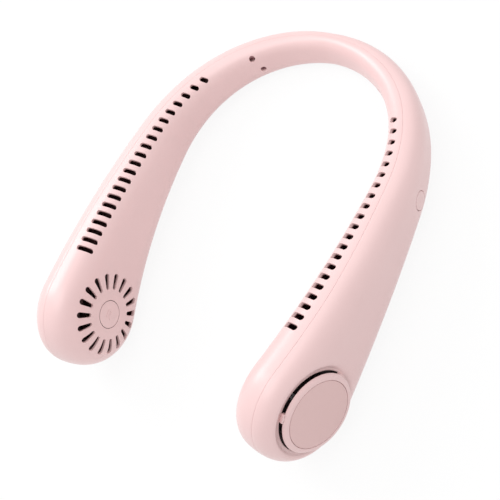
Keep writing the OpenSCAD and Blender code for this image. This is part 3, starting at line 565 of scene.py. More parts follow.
def slot_loops(ends, first_width, last_width):
    """Closed outlines, in mm, of slots that run from ends[:, 0] to ends[:, 1]."""
    points = bpy.data.meshes.new("slot_places")
    points.from_pydata([(i * APART, 0, 0) for i in range(len(ends))], [], [])
    columns = {"spot": places(points)}
    columns["start"], columns["end"] = (np.pad(ends[:, k], ((0, 0), (0, 1))) for k in (0, 1))
    for name, values in columns.items():
        points.attributes.new(name, "FLOAT_VECTOR", "POINT").data.foreach_set("vector", values.ravel())
    made = cutter.run(points, First_width=float(first_width), Last_width=float(last_width))
    flat = places(made)[:, :2].reshape(len(ends), -1, 2)
    return [refined(loop, LOOP_PITCH) for loop in flat]


def halved(low, high, is_below, rounds=HALVINGS):
    """The place in each span where the test turns false, by halving the span."""
    for _ in range(rounds):
        mid = (low + high) / 2
        below = is_below(mid)
        low, high = np.where(below, mid, low), np.where(below, high, mid)
    return (low + high) / 2


def tape_of_radius(s, r, face):
    """Tape height of a place at height r over the middle of the section."""
    return halved(np.zeros_like(r), shoulder_height(s, face), lambda tape: section(s, tape, face)[1] < r)


def tape_of_width(s, n, face):
    """Tape height of a place on the rounded shoulder at distance n from the centreline."""
    return halved(flat_height(s), shoulder_height(s, face),
                  lambda tape: np.abs(section(s, tape, face)[0]) > n)


def pod_drawing(x_back, up, face):
    """Drawing coordinates of a place in the pod's own frame: x back along the arm and y up."""
    x_back, up = np.asarray(x_back, float), np.asarray(up, float)
    s = np.full(x_back.shape, pod_run)
    for _ in range(SETTLING):
        here = np.interp(s, TABLE_RUNS, width(TABLE_RUNS, face))
        s = np.where(x_back > 0, pod_run - ARM_R * np.arctan(x_back / (ARM_R + face * here)), pod_run)
    up_here = up - POD_R + depth(s) / 2
    ahead = np.maximum(-x_back, 0)
    r = np.where(x_back > 0, np.abs(up_here), np.hypot(ahead, up))
    tape = tape_of_radius(s, r, face)
    x = np.where(x_back > 0, s, pod_run + tape * ahead / np.maximum(r, TINY))
    y = np.where(x_back > 0, tape * np.sign(up_here), tape * up / np.maximum(r, TINY))
    return np.stack([x, y], -1)


print("pod's middle on the drawing", pod_drawing([0.0], [0.0], INNER).round(2).tolist())

# %% Vents across the inner top edge
VENTS, VENT_PITCH, VENT_SPREAD, VENT_START, VENT_W = 21, 5.7, 9.5, 23.3, 2.8
VENT_OUT, VENT_REACH = (1.4, 3.2), (11.8, 8.0)
vent_ends = []
for i in range(VENTS):
    share = i / (VENTS - 1)
    s = pod_run - VENT_START - VENT_PITCH * i - VENT_SPREAD * share ** 4
    out_n = VENT_OUT[0] + (VENT_OUT[1] - VENT_OUT[0]) * share + VENT_W / 2
    in_n = VENT_REACH[0] + (VENT_REACH[1] - VENT_REACH[0]) * share - VENT_W / 2
    slant = float(outward(np.float64(s)) - outward(np.float64(pod_run)))
    s_in = s - (in_n - out_n) * math.tan(slant)
    ends = ((s, out_n), (s_in, in_n))
    vent_ends.append([(x, float(tape_of_width(np.float64(x), n, INNER))) for x, n in ends])
vent_loops = slot_loops(np.array(vent_ends), VENT_W, VENT_W)
print(len(vent_loops), "vents, the first", np.ptp(vent_loops[0], 0).round(2), "mm on the drawing")

# %% Grille slots and the seat of the marker disc
SLOTS, SLOT_R_IN, SLOT_R_OUT, SLOT_W_IN, SLOT_W_OUT = 18, 13.7, 22.5, 2.1, 3.3
DISC_R, DISC_GAP, SEAT_POINTS = 7.5, 0.3, 72


def circle(r, count):
    return r * ray(np.arange(count) * 2 * math.pi / count)


rays = circle(1, SLOTS)
grille_ends = np.stack([rays * (SLOT_R_IN + SLOT_W_IN / 2), rays * (SLOT_R_OUT - SLOT_W_OUT / 2)], 1)
grille_loops = [pod_drawing(*loop.T, INNER) for loop in slot_loops(grille_ends, SLOT_W_IN, SLOT_W_OUT)]
disc_loop = pod_drawing(*circle(DISC_R + DISC_GAP, SEAT_POINTS).T, INNER)
print(len(grille_loops), "grille slots")

# %% Screw holes, the power button and the charging slot
SCREWS, SCREW_HOLE_R, SCREW_POINTS = [(49.3, 0.64), (45.7, -0.19)], 1.7, 32
BUTTON_RUN, BUTTON_SHARE, BUTTON_R, BUTTON_FIT = 118.0, -0.2, 5.0, 0.15
PLUG_W, PLUG_T, PLUG_FIT, PLUG_OUT, PLUG_POINTS = 8.9, 3.2, 0.25, 3.316, 40


def arm_drawing(s_mid, up, x_back, y_up, face):
    """Drawing coordinates of places round a point of the arm, from its tangent plane."""
    s_mid = np.full(np.shape(x_back), float(s_mid))
    s = s_mid - by_stretch(s_mid, NAPE_R, SHOULDER_R, ARM_R) * np.arctan(
        x_back / (by_stretch(s_mid, NAPE_R, SHOULDER_R, ARM_R) + face * width(s_mid, face)))
    up_here = up + y_up - depth(s_mid) / 2 + depth(s) / 2
    tape = tape_of_radius(s, np.abs(up_here), face) * np.sign(up_here)
    return np.stack([s, tape], -1)


ring = circle(SCREW_HOLE_R, SCREW_POINTS)
screw_loops = [arm_drawing(s, share * half_depth(s), *ring.T, INNER) for s, share in SCREWS]
button_up = BUTTON_SHARE * half_depth(BUTTON_RUN)
ring = circle(BUTTON_R + BUTTON_FIT, SEAT_POINTS)
button_loop = arm_drawing(BUTTON_RUN, button_up, *ring.T, OUTER)
ring = circle(PLUG_T / 2 + PLUG_FIT, PLUG_POINTS)
ring[:, 0] += np.sign(ring[:, 0]) * (PLUG_W - PLUG_T) / 2
ring = refined(ring, LOOP_PITCH)
plug_run = BUTTON_RUN - ARM_R * np.arctan(ring[:, 0] / (ARM_R + PLUG_OUT))
charging_loop = np.stack([plug_run, -tape_of_width(plug_run, PLUG_OUT + ring[:, 1], OUTER)], -1)
print("on the drawing, button's hole and charging slot", np.ptp(button_loop, 0).round(2),
      np.ptp(charging_loop, 0).round(2), "mm")

# %% [markdown]
# ## From the pattern to a moulded shell
# A shell is the drawing wrapped twice: once on the skin and once a wall's thickness further in.
# Each hole and the parting line get a rounded lip between the two, as a mould leaves it. The
# triangles come from a constrained Delaunay net over rows of points that follow the outline, so
# the shading stays smooth where a plain boolean cut would leave a ragged edge.

# %% The net of an arm's drawing
LIP, PITCH = 0.22, 1.35
BESIDE_EDGE, BESIDE_HOLE = 0.3, 0.45


def half_round(r, pitch):
    """Points of a half circle in front of the pod's centre, from its top to its bottom."""
    count = max(3, int(round(math.pi * r / pitch)))
    turns = [math.pi * k / count for k in range(1, count)]
    return [(pod_run + r * math.sin(a), r * math.cos(a)) for a in turns]


def pattern_points(face, pitch):
    """Rows of points over the drawing of one arm: x from the nape to the pod, then fans."""
    points = []
    for x in np.linspace(0, pod_run, int(pod_run / pitch) + 1):
        top = float(tape_top(np.float64(x), face)) - LIP
        count = max(10, int(round(top / pitch)))
        points += [(x, top * k / count) for k in range(-count, count + 1)]
    rings = int(round(top / pitch))
    for j in range(1, rings + 1):
        points += half_round(top * j / rings, pitch)
    return np.array(points)


def border(face, pitch):
    """The parting line on the drawing, from the nape's top round the pod to its bottom."""
    runs = np.linspace(0, pod_run, int(pod_run / pitch) + 1)
    top = tape_top(runs, face)
    return np.concatenate([np.stack([runs, top], -1), half_round(top[-1], pitch),
                           np.stack([runs, -top], -1)[::-1]])


def loop_normals(loop, closed=True):
    """Unit directions that point to the right of the path."""
    ahead = np.roll(loop, -1, 0) - np.roll(loop, 1, 0)
    if not closed:
        ahead[0], ahead[-1] = loop[1] - loop[0], loop[-1] - loop[-2]
    ahead /= np.linalg.norm(ahead, axis=1, keepdims=True)
    return np.stack([ahead[:, 1], -ahead[:, 0]], -1)


def inside(points, loop):
    """Which points lie inside a closed loop."""
    x, y = points[:, 0], points[:, 1]
    hit = np.zeros(len(points), bool)
    for (ax, ay), (bx, by) in zip(loop, np.roll(loop, -1, 0)):
        crosses = (ay > y) != (by > y)
        at = ax + (y - ay) / np.where(by == ay, 1e-12, by - ay) * (bx - ax)
        hit ^= crosses & (x < at)
    return hit


print("the inner half's parting line has", len(border(INNER, PITCH)), "points")

# %% A hole with its lip and walls
LIP_TURNS = np.linspace(0, math.pi / 2, 5)[1:]


class Hole:
    """A hole in the drawing: its loop, the radius of its lip, and its depth or its own rings.

    A hole that is deeper than the wall gets a tube round it, whose wall is as thick as its foot.
    Its walls get painted shade, which deepens down to the depth that is given for it."""

    def __init__(self, loop, lip, deep=WALL, foot=0.0, rings=None, painted_shade_depth=WALL):
        turning = loop[:, 0] * np.roll(loop[:, 1], -1) - np.roll(loop[:, 0], -1) * loop[:, 1]
        if turning.sum() > 0:
            loop = loop[::-1]
            rings = [(ring[::-1], mark) for ring, mark in rings] if rings else None
        self.foot, self.rings, self.painted_shade_depth = foot, rings, painted_shade_depth
        self.draw(loop, loop_normals(loop), lip, deep, True)

    def draw(self, rim, into, lip, deep, closed):
        self.rim, self.into, self.lip, self.deep, self.closed = rim, into, lip, deep, closed
        self.start, self.through = rim - into * lip, deep >= WALL

    def near(self, points, room):
        """Which points lie in the loop's box, with some room round it."""
        low, high = self.start.min(0) - room, self.start.max(0) + room
        return np.nonzero(((points > low) & (points < high)).all(1))[0]

    def walls(self, face):
        """Rings of points and the share of painted shade on each one, from the lip downwards."""
        if self.rings:
            return self.rings
        steps = [(self.lip * (1 - math.sin(a)), self.lip * (1 - math.cos(a))) for a in LIP_TURNS]
        steps.append((0, (self.lip + self.deep) / 2))
        if self.foot:
            steps += [(0, self.deep), (self.foot, self.deep)]
        elif not self.through:
            steps.append((0, self.deep))
        made = []
        for offset, down in steps:
            ring = self.rim - self.into * offset
            made.append((skin(ring, face) - down * skin_normals(ring, face), min(down / self.painted_shade_depth, 1)))
        return made


class PartingLine(Hole):
    """The edge of the shell, treated as a hole that is everything outside."""

    def __init__(self, face, pitch):
        self.foot, self.rings, self.painted_shade_depth = 0.0, None, WALL
        rim = border(face, pitch)
        into = -loop_normals(rim, closed=False)
        into[0], into[-1] = (0, 1), (0, -1)
        self.draw(rim, into, LIP, WALL, False)


print("a lip turns in", len(LIP_TURNS), "steps")

# %% Wrapping one arm of a shell


def clear_of(grid, face, holes, pitch):
    """The grid's points that keep clear of the holes and of the parting line."""
    keep = np.ones(len(grid), bool)
    for hole in holes:
        index = hole.near(grid, 2)
        gap = np.linalg.norm(grid[index][:, None] - hole.start[None], axis=2).min(1)
        keep[index] &= ~(inside(grid[index], hole.start) | (gap < BESIDE_HOLE * pitch))
    pod_top = float(tape_top(np.float64(pod_run), face)) - LIP
    gap_top = np.abs(np.abs(grid[:, 1]) - (tape_top(np.minimum(grid[:, 0], pod_run), face) - LIP))
    gap_pod = np.abs(np.hypot(grid[:, 0] - pod_run, grid[:, 1]) - pod_top)
    return grid[keep & (np.where(grid[:, 0] > pod_run + 1e-6, gap_pod, gap_top) > BESIDE_EDGE)]


def flat_net(face, rims, pitch):
    """Points and triangles of the drawing, and where each rim's points are among them."""
    edge, holes = rims[0], rims[1:]
    parts, edges, firsts = [clear_of(pattern_points(face, pitch), face, holes, pitch)], [], []
    for rim in rims:
        first, n = sum(map(len, parts)), len(rim.start)
        firsts.append(first)
        edges += [(first + k, first + (k + 1) % n) for k in range(n)]
        parts.append(rim.start)
    flat = np.concatenate(parts)
    net = delaunay_2d_cdt([Vector(p) for p in flat], edges, [], 0, 1e-7)
    out = np.array([p[:] for p in net[0]])
    tris = np.array([t for t in net[2] if len(t) == 3])
    order = np.full(len(flat), -1)
    for new, olds in enumerate(net[3]):
        order[olds] = new
    middle = out[tris].mean(1)
    drop = ~inside(middle, edge.start)
    for hole in holes:
        index = hole.near(middle, 1)
        drop[index] |= inside(middle[index], hole.start)
    tris = tris[~drop]
    area = np.cross(out[tris[:, 1]] - out[tris[:, 0]], out[tris[:, 2]] - out[tris[:, 0]])
    tris[area < 0] = tris[area < 0][:, ::-1]
    return out, tris, [order[first:first + len(rim.start)] for first, rim in zip(firsts, rims)]


def strip(a, b, closed, face):
    """Triangles between two rings of equal count, a and b."""
    c, d = np.roll(a, -1), np.roll(b, -1)
    if not closed:
        a, b, c, d = a[:-1], b[:-1], c[:-1], d[:-1]
    made = np.concatenate([np.stack([a, c, b], -1), np.stack([c, d, b], -1)])
    return made if face == OUTER else made[:, ::-1]


def wrap_arm(face, holes, pitch=PITCH):
    """Vertices in mm, marks of how far inside they lie, which set their painted shade, and triangles of one
    arm of a shell.
    """
    rims = [PartingLine(face, pitch), *holes]
    out, tris, indices = flat_net(face, rims, pitch)
    lower_flat = out.copy()
    for rim, index in zip(rims, indices):
        if rim.through:
            lower_flat[index] = rim.rim - rim.into * rim.foot
    vertices = [skin(out, face), skin(lower_flat, face) - WALL * skin_normals(lower_flat, face)]
    # The skin gets no painted shade and the underside gets it in full.
    marks = [np.zeros(len(out)), np.ones(len(out))]
    faces = [tris, tris[:, ::-1] + len(out)]
    if face == INNER:
        faces = [f[:, ::-1] for f in faces]
    total = 2 * len(out)
    for rim, index in zip(rims, indices):
        n, previous = len(rim.start), index
        for ring, mark in rim.walls(face):
            vertices.append(ring)
            marks.append(np.full(n, mark))
            faces.append(strip(previous, total + np.arange(n), rim.closed, face))
            previous = total + np.arange(n)
            total += n
        if rim.through:
            faces.append(strip(previous, index + len(out), rim.closed, face))
            continue
        middle = rim.rim.mean(0)[None]
        for ring, down, turned in ((previous, rim.deep, 1), (index + len(out), WALL, -1)):
            vertices.append(skin(middle, face) - down * skin_normals(middle, face))
            marks.append([down / WALL])
            fan = np.stack([ring, np.roll(ring, -1), np.full(n, total)], -1)[:, ::turned]
            faces.append(fan[:, ::-1] if face == INNER else fan)
            total += 1
    return np.concatenate(vertices), np.concatenate(marks), np.concatenate(faces)[:, ::-1]


print("shells are wrapped in a net of", PITCH, "mm")

# %% Vertices and triangles to a finished piece
CREASE, FINE_CREASE, AT_NAPE, MERGE = 50, 35, 0.5, 2000


def make_mesh(name, vertices, faces, material, marks=None, crease=CREASE):
    """A mesh with smooth faces that stay crisp where they turn by more than the crease."""
    mesh = bpy.data.meshes.new(name)
    mesh.from_pydata(np.asarray(vertices).tolist(), [], [list(map(int, f)) for f in faces])
    if marks is not None:
        # The marks become the attribute that the shell's finish turns into painted shade.
        painted_shade_marks = mesh.attributes.new("inside", "FLOAT", "POINT")
        painted_shade_marks.data.foreach_set("value", np.asarray(marks, np.float32))
    mesh.validate()
    mesh.polygons.foreach_set("use_smooth", [True] * len(mesh.polygons))
    mesh.set_sharp_from_angle(angle=math.radians(crease))
    mesh.materials.append(material)
    mesh.update()
    return mesh


def add_piece(name, points, faces, body, slot, old, marks=None, crease=CREASE):
    """A piece in the finish of its slot, from points in mm, in the place of the model's own one.

    Its place is held to the model's box, so the looks never make the part larger."""
    held = np.clip(at_rest(points), *cad_box)
    piece = bpy.data.objects.new(name, make_mesh(name, held, faces, finishes[slot], marks, crease))
    scene.collection.objects.link(piece)
    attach(piece, body)
    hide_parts(old)


def on_side(side, points, faces):
    """The left piece as it is, or its mirror image with the faces turned round again."""
    if side == "left":
        return points, faces
    return points * [-1, 1, 1], [f[::-1] for f in faces]


def add_pair(name, points, faces, body, slot, old, marks=None, crease=CREASE):
    """The left piece and its mirror image. A body named SIDE_fan is each side's own."""
    for side in ("left", "right"):
        add_piece(f"{side}_{name}", *on_side(side, points, faces), body.replace("SIDE", side), slot,
                  f"{side}_{old}", marks, crease)


def both_arms(left, right):
    """Joins a left arm and a right arm, drawn as a left one, at the nape's middle."""
    points = np.concatenate([left[0], right[0] * [-1, 1, 1]])
    marks = np.concatenate([left[1], right[1]])
    faces = np.concatenate([left[2], right[2][:, ::-1] + len(left[0])])
    near = np.abs(points[:, 0]) < AT_NAPE
    points[near, 0] = 0
    key = np.round(points * MERGE).astype(np.int64)
    _, first, where = np.unique(key[near], axis=0, return_index=True, return_inverse=True)
    target = np.arange(len(points))
    target[near] = np.nonzero(near)[0][first][where.reshape(-1)]
    used, faces = np.unique(target[faces], return_inverse=True)
    return points[used], faces.reshape(-1, 3), marks[used]


def open_edges(faces):
    """Count of edges that don't have exactly two faces."""
    pairs = [np.sort([f[k], f[(k + 1) % len(f)]]) for f in faces for k in range(len(f))]
    _, count = np.unique(pairs, axis=0, return_counts=True)
    return int((count != 2).sum())


print("piece makers ready")

# %% [markdown]
# ## The satin pink of the shells
# The shells are moulded in one pale pink, with the fine even grain that a mould etched with
# sparks leaves. It is far too fine to see as bumps from half a metre, but it spreads the lights
# into a satin sheen. The colour drifts by a hair over a hand's width. The walls of the cut slots
# and the inside of the shell get painted shade: a deep dark red that stands in for the dark deep
# in the slots and for light reddened between pink walls. It is read from a mark that the mesh
# carries, zero on the skin and one inside. The caps' inlays are a shade greyer and a little
# more matt.

# %% Shell plastic
DRIFT, CLOUD, CLOUD_SHARE, PAINTED_SHADE_FROM = 14.0, 420.0, 0.35, 0.6
GRAIN_RELIEF, GRAIN_STRENGTH = 0.00001, 0.35
NOISE_SPAN, GRAIN_SHIFTS = (0.3, 0.7), (-0.05, 0.06)


def moulded(name, colour, deeper, grain, roughness, inside=None):
    finish = Finish(name, ior=1.49, gloss=0.5)
    shade = finish.mix(finish.grade(finish.noise(DRIFT), *NOISE_SPAN), colour, deeper)
    if inside:
        # Painted shade: as the mesh's mark nears one, the colour turns to the deep dark red that stands in
        # for shade in the slots and under the shell.
        shade = finish.mix(finish.grade(finish.attribute("inside"), PAINTED_SHADE_FROM, 1.0), shade, inside)
    fine = finish.noise(grain, rough=0.6)
    cloud = finish.noise(CLOUD, detail=3.0)
    relief = finish.bump(fine + cloud * CLOUD_SHARE, GRAIN_RELIEF, GRAIN_STRENGTH)
    rough = finish.grade(fine, *NOISE_SPAN, *(roughness + shift for shift in GRAIN_SHIFTS))
    return finish.set(base_color=shade, roughness=rough, normal=relief)


# The third pink is painted shade, for the walls of cuts and the shell's underside.
PINK, PINK_DEEP, PINK_PAINTED_SHADE = srgb(234, 202, 201), srgb(231, 198, 197), srgb(104, 52, 54)
INLAY_PINK, INLAY_DEEP = srgb(226, 192, 190), srgb(223, 188, 186)
finishes = {"shell_plastic": moulded("shell_plastic", PINK, PINK_DEEP, 5200.0, 0.31, PINK_PAINTED_SHADE),
            "inlay_plastic": moulded("inlay_plastic", INLAY_PINK, INLAY_DEEP, 3800.0, 0.5)}
print("finishes", sorted(finishes))

# %% [markdown]
# ## Two plainer finishes
# What sits inside is cast or drawn metal and dull moulded plastic. Both get one fine noise at the
# scale of their grain. It shifts the shade and the surface a little, and on metal the roughness too.

# %% Metal and dull plastic
METAL_DARKER, PLASTIC_DARKER = 0.82, 0.88
METAL_SPAN, METAL_SHIFTS = (0.2, 0.8), (-0.08, 0.1)
METAL_RELIEF, PLASTIC_RELIEF = (0.00002, 0.3), (0.00003, 0.4)


def metal(name, colour, roughness, scratch):
    finish = Finish(name, metallic=1.0, ior=1.5)
    lines = finish.noise(scratch, detail=3.0, rough=0.7)
    shade = finish.mix(lines, colour, tuple(c * METAL_DARKER for c in colour))
    rough = finish.grade(lines, *METAL_SPAN, *(roughness + shift for shift in METAL_SHIFTS))
    return finish.set(base_color=shade, roughness=rough, normal=finish.bump(lines, *METAL_RELIEF))


def plain_plastic(name, colour, roughness, grain):
    finish = Finish(name, ior=1.48)
    fine = finish.noise(grain, detail=3.0, rough=0.6)
    darker = tuple(c * PLASTIC_DARKER for c in colour)
    shade = finish.mix(finish.grade(fine, *NOISE_SPAN), colour, darker)
    return finish.set(base_color=shade, roughness=roughness, normal=finish.bump(fine, *PLASTIC_RELIEF))


print("plainer finishes ready")

# %% [markdown]
# ## The inner shell
# The half that faces the neck carries nearly everything that is cut: twenty-one vents along each
# arm, the round grille, the seat of the marker disc and the screw holes. All of it is in the
# drawing already, so the shell is one call for each arm and a join at the nape. The left arm
# shows only the lower of its two screw holes, as in the picture.

# %% Inner shell: vents, grille, marker seat and screw holes
DISC_T, SEAT_SPARE, SEAT_LIP, SEAT_PAINTED_SHADE_DEPTH = 0.9, 0.1, 0.12, 0.5
SCREW_DEEP, SCREW_TUBE, SCREW_LIP = 3.6, 0.5, 0.25
# Each cut's wall gets painted shade that deepens with depth; round the marker seat it is full within half a
# millimetre, and in the screw holes it spreads over their whole depth.
cut_inside = [Hole(loop, LIP) for loop in vent_loops + grille_loops]
cut_inside.append(Hole(disc_loop, SEAT_LIP, DISC_T + SEAT_SPARE, painted_shade_depth=SEAT_PAINTED_SHADE_DEPTH))
screw_holes = [Hole(loop, SCREW_LIP, SCREW_DEEP, SCREW_TUBE, painted_shade_depth=SCREW_DEEP) for loop in screw_loops]
left_arm = wrap_arm(INNER, cut_inside + screw_holes[1:])
points, faces, marks = both_arms(left_arm, wrap_arm(INNER, cut_inside + screw_holes))
add_piece("inner_half_shell", points, faces, "band", "shell_plastic", "inner_shell", marks)
print("inner shell:", len(faces), "triangles, open edges", open_edges(faces))

# %% [markdown]
# ## The dished intake
# On the outer half the fan draws air in through a round gap. The shell dips there into a shallow
# dish that is turned about the cap's own axis, and the cap leans a little up and forward against
# the pod. So the dish's edge is the line where a turned hollow leaves the skin, which has no
# simple formula. For each direction round the cap it is found by halving: a point slides along
# the hollow until it is on the skin. That ring goes into the drawing as the rim of a hole, and
# the hollow itself becomes the hole's wall.

# %% The cap's own frame
CAP_OUT, CAP_LEAN_SHARE, CAP_TURN_SHARE = 17.2, 0.117, 0.055
CAP_R, INLAY_R, CAP_H, BEVEL_FALL, INTAKE_GAP = 20.8, 17.9, 2.1, 1.5, 1.5
OPENING_R, DISH_R, DISH_T, DISH_RISE, DISH_TURN, PAST_CAP = 21.1, 24.8, 1.2, 3.4, 78.0, 1.2
DISH_LOW, DISH_RIM = -CAP_H - INTAKE_GAP, CAP_R + PAST_CAP
cap_axes = np.array(Matrix.Rotation(-math.atan(CAP_TURN_SHARE), 3, "Y")
                    @ Matrix.Rotation(-math.atan(CAP_LEAN_SHARE), 3, "X"))


def cap_to_pod(points):
    return np.asarray(points) @ cap_axes.T + [0, 0, CAP_OUT]


def round_cap(r, height, turns):
    """Points at radius r and a height over the cap's face, all round the cap's axis."""
    r, height = np.broadcast_to(r, turns.shape), np.broadcast_to(height, turns.shape)
    return cap_to_pod(np.stack([r * np.cos(turns), r * np.sin(turns), height], -1))


print("cap leans", [round(math.degrees(math.atan(s)), 1) for s in (CAP_LEAN_SHARE, CAP_TURN_SHARE)])

# %% The edge of the dish, by halving
DISH_POINTS, BEYOND_DISH, DISH_HALVINGS = 200, 1.25, 24
dish_turns = np.arange(DISH_POINTS) * 2 * math.pi / DISH_POINTS


def hollow(k):
    """Radius and height of the dish's hollow: 0 at its level rim, 1 at its outer end."""
    full = math.radians(DISH_TURN)
    return (DISH_RIM + (DISH_R - DISH_RIM) * np.sin(full * k) / math.sin(full),
            DISH_LOW + DISH_RISE * (1 - np.cos(full * k)) / (1 - math.cos(full)))


def on_drawing(points):
    """Drawing coordinates on the outer face of places in the pod's frame."""
    return pod_drawing(points[:, 0], points[:, 1], OUTER)


def under_skin(k):
    at = round_cap(*hollow(k), dish_turns)
    return at[:, 2] < from_band(skin(on_drawing(at), OUTER))[:, 2]


furthest = np.full(DISH_POINTS, BEYOND_DISH)
edge_share = halved(np.zeros(DISH_POINTS), furthest, under_skin, DISH_HALVINGS)
dish_loop = on_drawing(round_cap(*hollow(edge_share), dish_turns))
print("dish edge at radius", hollow(edge_share)[0].min().round(2), "to", hollow(edge_share)[0].max().round(2))

# %% The walls of the dish, ring by ring
DISH_LIP, HOLLOW_LENGTH, DISH_RINGS, PAST_RIM = 1.9, 4.2, 8, 0.2
OPENING_EASE, OPENING_SHARES, OPENING_PAINTED_SHADE = 0.4, (0.0, 0.33, 0.67, 1.0), (0.0, 0.1, 0.3, 0.6, 1.0, 1.0)


def eased(start, corner, end, k):
    """A point of the soft curve that leaves start and reaches end, pulled towards the corner."""
    return (1 - k) ** 2 * start + 2 * k * (1 - k) * corner + k * k * end


def dish_ring(r, height):
    return to_band(round_cap(r, height, dish_turns))


lip_start = skin(dish_loop - loop_normals(dish_loop) * DISH_LIP, OUTER)
lip_end_share = np.maximum(edge_share - DISH_LIP / HOLLOW_LENGTH, 0)
lip_end = dish_ring(*hollow(lip_end_share))
shares = np.linspace(0, 1, DISH_RINGS)
dish_rings = [(eased(lip_start, skin(dish_loop, OUTER), lip_end, k), 0.0) for k in shares[1:]]
dish_rings += [(dish_ring(*hollow(lip_end_share * k)), 0.0) for k in np.linspace(1, 0, DISH_RINGS)[1:]]
corner = np.array([OPENING_R, DISH_LOW])
edge_profile = [eased(corner + [OPENING_EASE, 0], corner, corner - [0, OPENING_EASE], k)
                for k in OPENING_SHARES]
edge_profile += [(OPENING_R, DISH_LOW - DISH_T), (DISH_RIM + PAST_RIM, DISH_LOW - DISH_T)]
# The rings that turn down round the opening carry painted shade, rising to full inside the intake.
dish_rings += [(dish_ring(*spot), mark) for spot, mark in zip(edge_profile, OPENING_PAINTED_SHADE)]
dish_hole = Hole(dish_loop, DISH_LIP, rings=dish_rings)
print(len(dish_rings), "rings from the skin into the intake")

# %% [markdown]
# ## The outer shell
# The half that faces away from the neck is nearly plain. Both arms have the dished intake, and
# the left one has the round hole of the button and, under it, the slot for charging. It is
# wrapped and joined like the inner half, so the two meet along the same parting line.

# %% Outer shell: dished intakes, the button's hole and the charging slot
BUTTON_LIP, BUTTON_PAINTED_SHADE_DEPTH, CHARGING_LIP = 0.14, 0.6, 0.3
# The button's hole and the charging slot get painted shade down their walls.
left_cuts = [dish_hole, Hole(button_loop, BUTTON_LIP, painted_shade_depth=BUTTON_PAINTED_SHADE_DEPTH), Hole(charging_loop, CHARGING_LIP)]
points, faces, marks = both_arms(wrap_arm(OUTER, left_cuts), wrap_arm(OUTER, [dish_hole]))
add_piece("outer_half_shell", points, faces, "band", "shell_plastic", "outer_shell", marks)
print("outer shell:", len(faces), "triangles, open edges", open_edges(faces))

# %% [markdown]
# ## Turned and stacked pieces
# Caps, inlays, discs and the button are simple bodies: one outline seen from above, and one
# profile seen from the side. What makes them look moulded is the edge. So a profile is written
# with sharp corners and a radius for each, the corners are eased, and the outline is stacked
# along it, drawn in a little at each level.

# %% Eased corners and stacked outlines
AT_MOST, MANY_POINTS, SOME_POINTS = 0.49, 160, 96


def soft_path(points, radii, steps=4):
    """A path whose inner corners are eased over the given lengths."""
    points = [np.array(p, float) for p in points]
    path = [points[0]]
    for before, corner, after, r in zip(points, points[1:-1], points[2:], radii):
        if r <= 0:
            path.append(corner)
            continue
        sides = (before - corner, after - corner)
        start, end = (corner + side * min(r / np.linalg.norm(side), AT_MOST) for side in sides)
        path += [eased(start, corner, end, k / steps) for k in range(steps + 1)]
    return path + [points[-1]]


def lofted(rings, top, bottom):
    """Points and faces of a closed body: a point, rings of equal count, and a point."""
    n = len(rings[0])
    points = np.concatenate([[top], *rings, [bottom]])
    k = np.arange(n)
    after = (k + 1) % n
    faces = [np.stack([0 * k, 1 + k, 1 + after], -1)]
    for a in range(1, 1 + (len(rings) - 1) * n, n):
        faces.append(np.stack([a + k, a + n + k, a + after], -1))
        faces.append(np.stack([a + after, a + n + k, a + n + after], -1))
    low = len(points) - 1 - n
    faces.append(np.stack([low + k, 0 * k + len(points) - 1, low + after], -1))
    return points, np.concatenate(faces)


def stacked(outline, levels):
    """A body: the outline drawn in by the first number of each level, at the height of the second."""
    inward, middle = -loop_normals(outline), outline.mean(0)
    rings = [np.column_stack([outline + inward * inset, np.full(len(outline), height)])
             for inset, height in levels[1:-1]]
    return lofted(rings, [*middle, levels[0][1]], [*middle, levels[-1][1]])


def turned_body(radius, profile, radii, count=SOME_POINTS):
    """A lathe body from a profile of [radius, height], upper middle first."""
    path = soft_path(profile, radii)
    return stacked(circle(radius, count), [(radius - r, h) for r, h in path])


def joined(bodies):
    """Several bodies as one."""
    firsts = np.cumsum([0] + [len(points) for points, _ in bodies])
    return (np.concatenate([points for points, _ in bodies]),
            np.concatenate([faces + first for (_, faces), first in zip(bodies, firsts)]))


coin = turned_body(1.0, [(0, 0), (1, 0), (1, -1), (0, -1)], (0.2, 0.2))
print("a coin for a test has", len(coin[0]), "points")

# %% [markdown]
# ## Intake caps and their inlays
# Each cap is a bevelled disc that stands over the dish on three short tabs, and the air goes in
# under its rim. The black crescent in the picture is that gap. A flat inlay lies in the cap's
# recess with a hair of a groove round it. Both are turned, and the tabs are small stacked blocks.

# %% Caps with bevel, recess and tabs
INLAY_T, GROOVE, RIM_W, RIM_FALL, HAIR = 0.9, 0.22, 1.9, 0.24, 0.05
EDGE_H, UNDER_EDGE = 0.25, 0.7
TAB_W, FIRST_TAB, TAB_COUNT, TUCK, TAB_IN, TAB_OUT = 4.6, 128.0, 3, 0.5, 1.4, 1.0
TAB_RISE, TUCKED_RISE, TAB_PITCH, TAB_EASE, SQUARENESS = 0.2, 0.3, 0.3, 0.35, 6
recess = -INLAY_T - HAIR
cap_profile = [(0, recess), (INLAY_R, recess), (INLAY_R, 0.0), (INLAY_R + RIM_W, -RIM_FALL),
               (CAP_R, -BEVEL_FALL), (CAP_R, -CAP_H + EDGE_H), (CAP_R - UNDER_EDGE, -CAP_H), (0, -CAP_H)]
bodies = [turned_body(CAP_R, cap_profile, (0.0, 0.2, 1.0, 0.5, 0.12, 0.2), MANY_POINTS)]
tab_low, tab_top = DISH_LOW + HAIR, TAB_RISE - BEVEL_FALL
tab_shape = refined(np.array([(CAP_R - TAB_IN, -TAB_W / 2), (CAP_R + TAB_OUT, -TAB_W / 2),
                              (CAP_R + TAB_OUT, TAB_W / 2), (CAP_R - TAB_IN, TAB_W / 2)]), TAB_PITCH)
tab_middle, tab_half = tab_shape.mean(0), np.ptp(tab_shape, 0) / 2
unit = (tab_shape - tab_middle) / tab_half
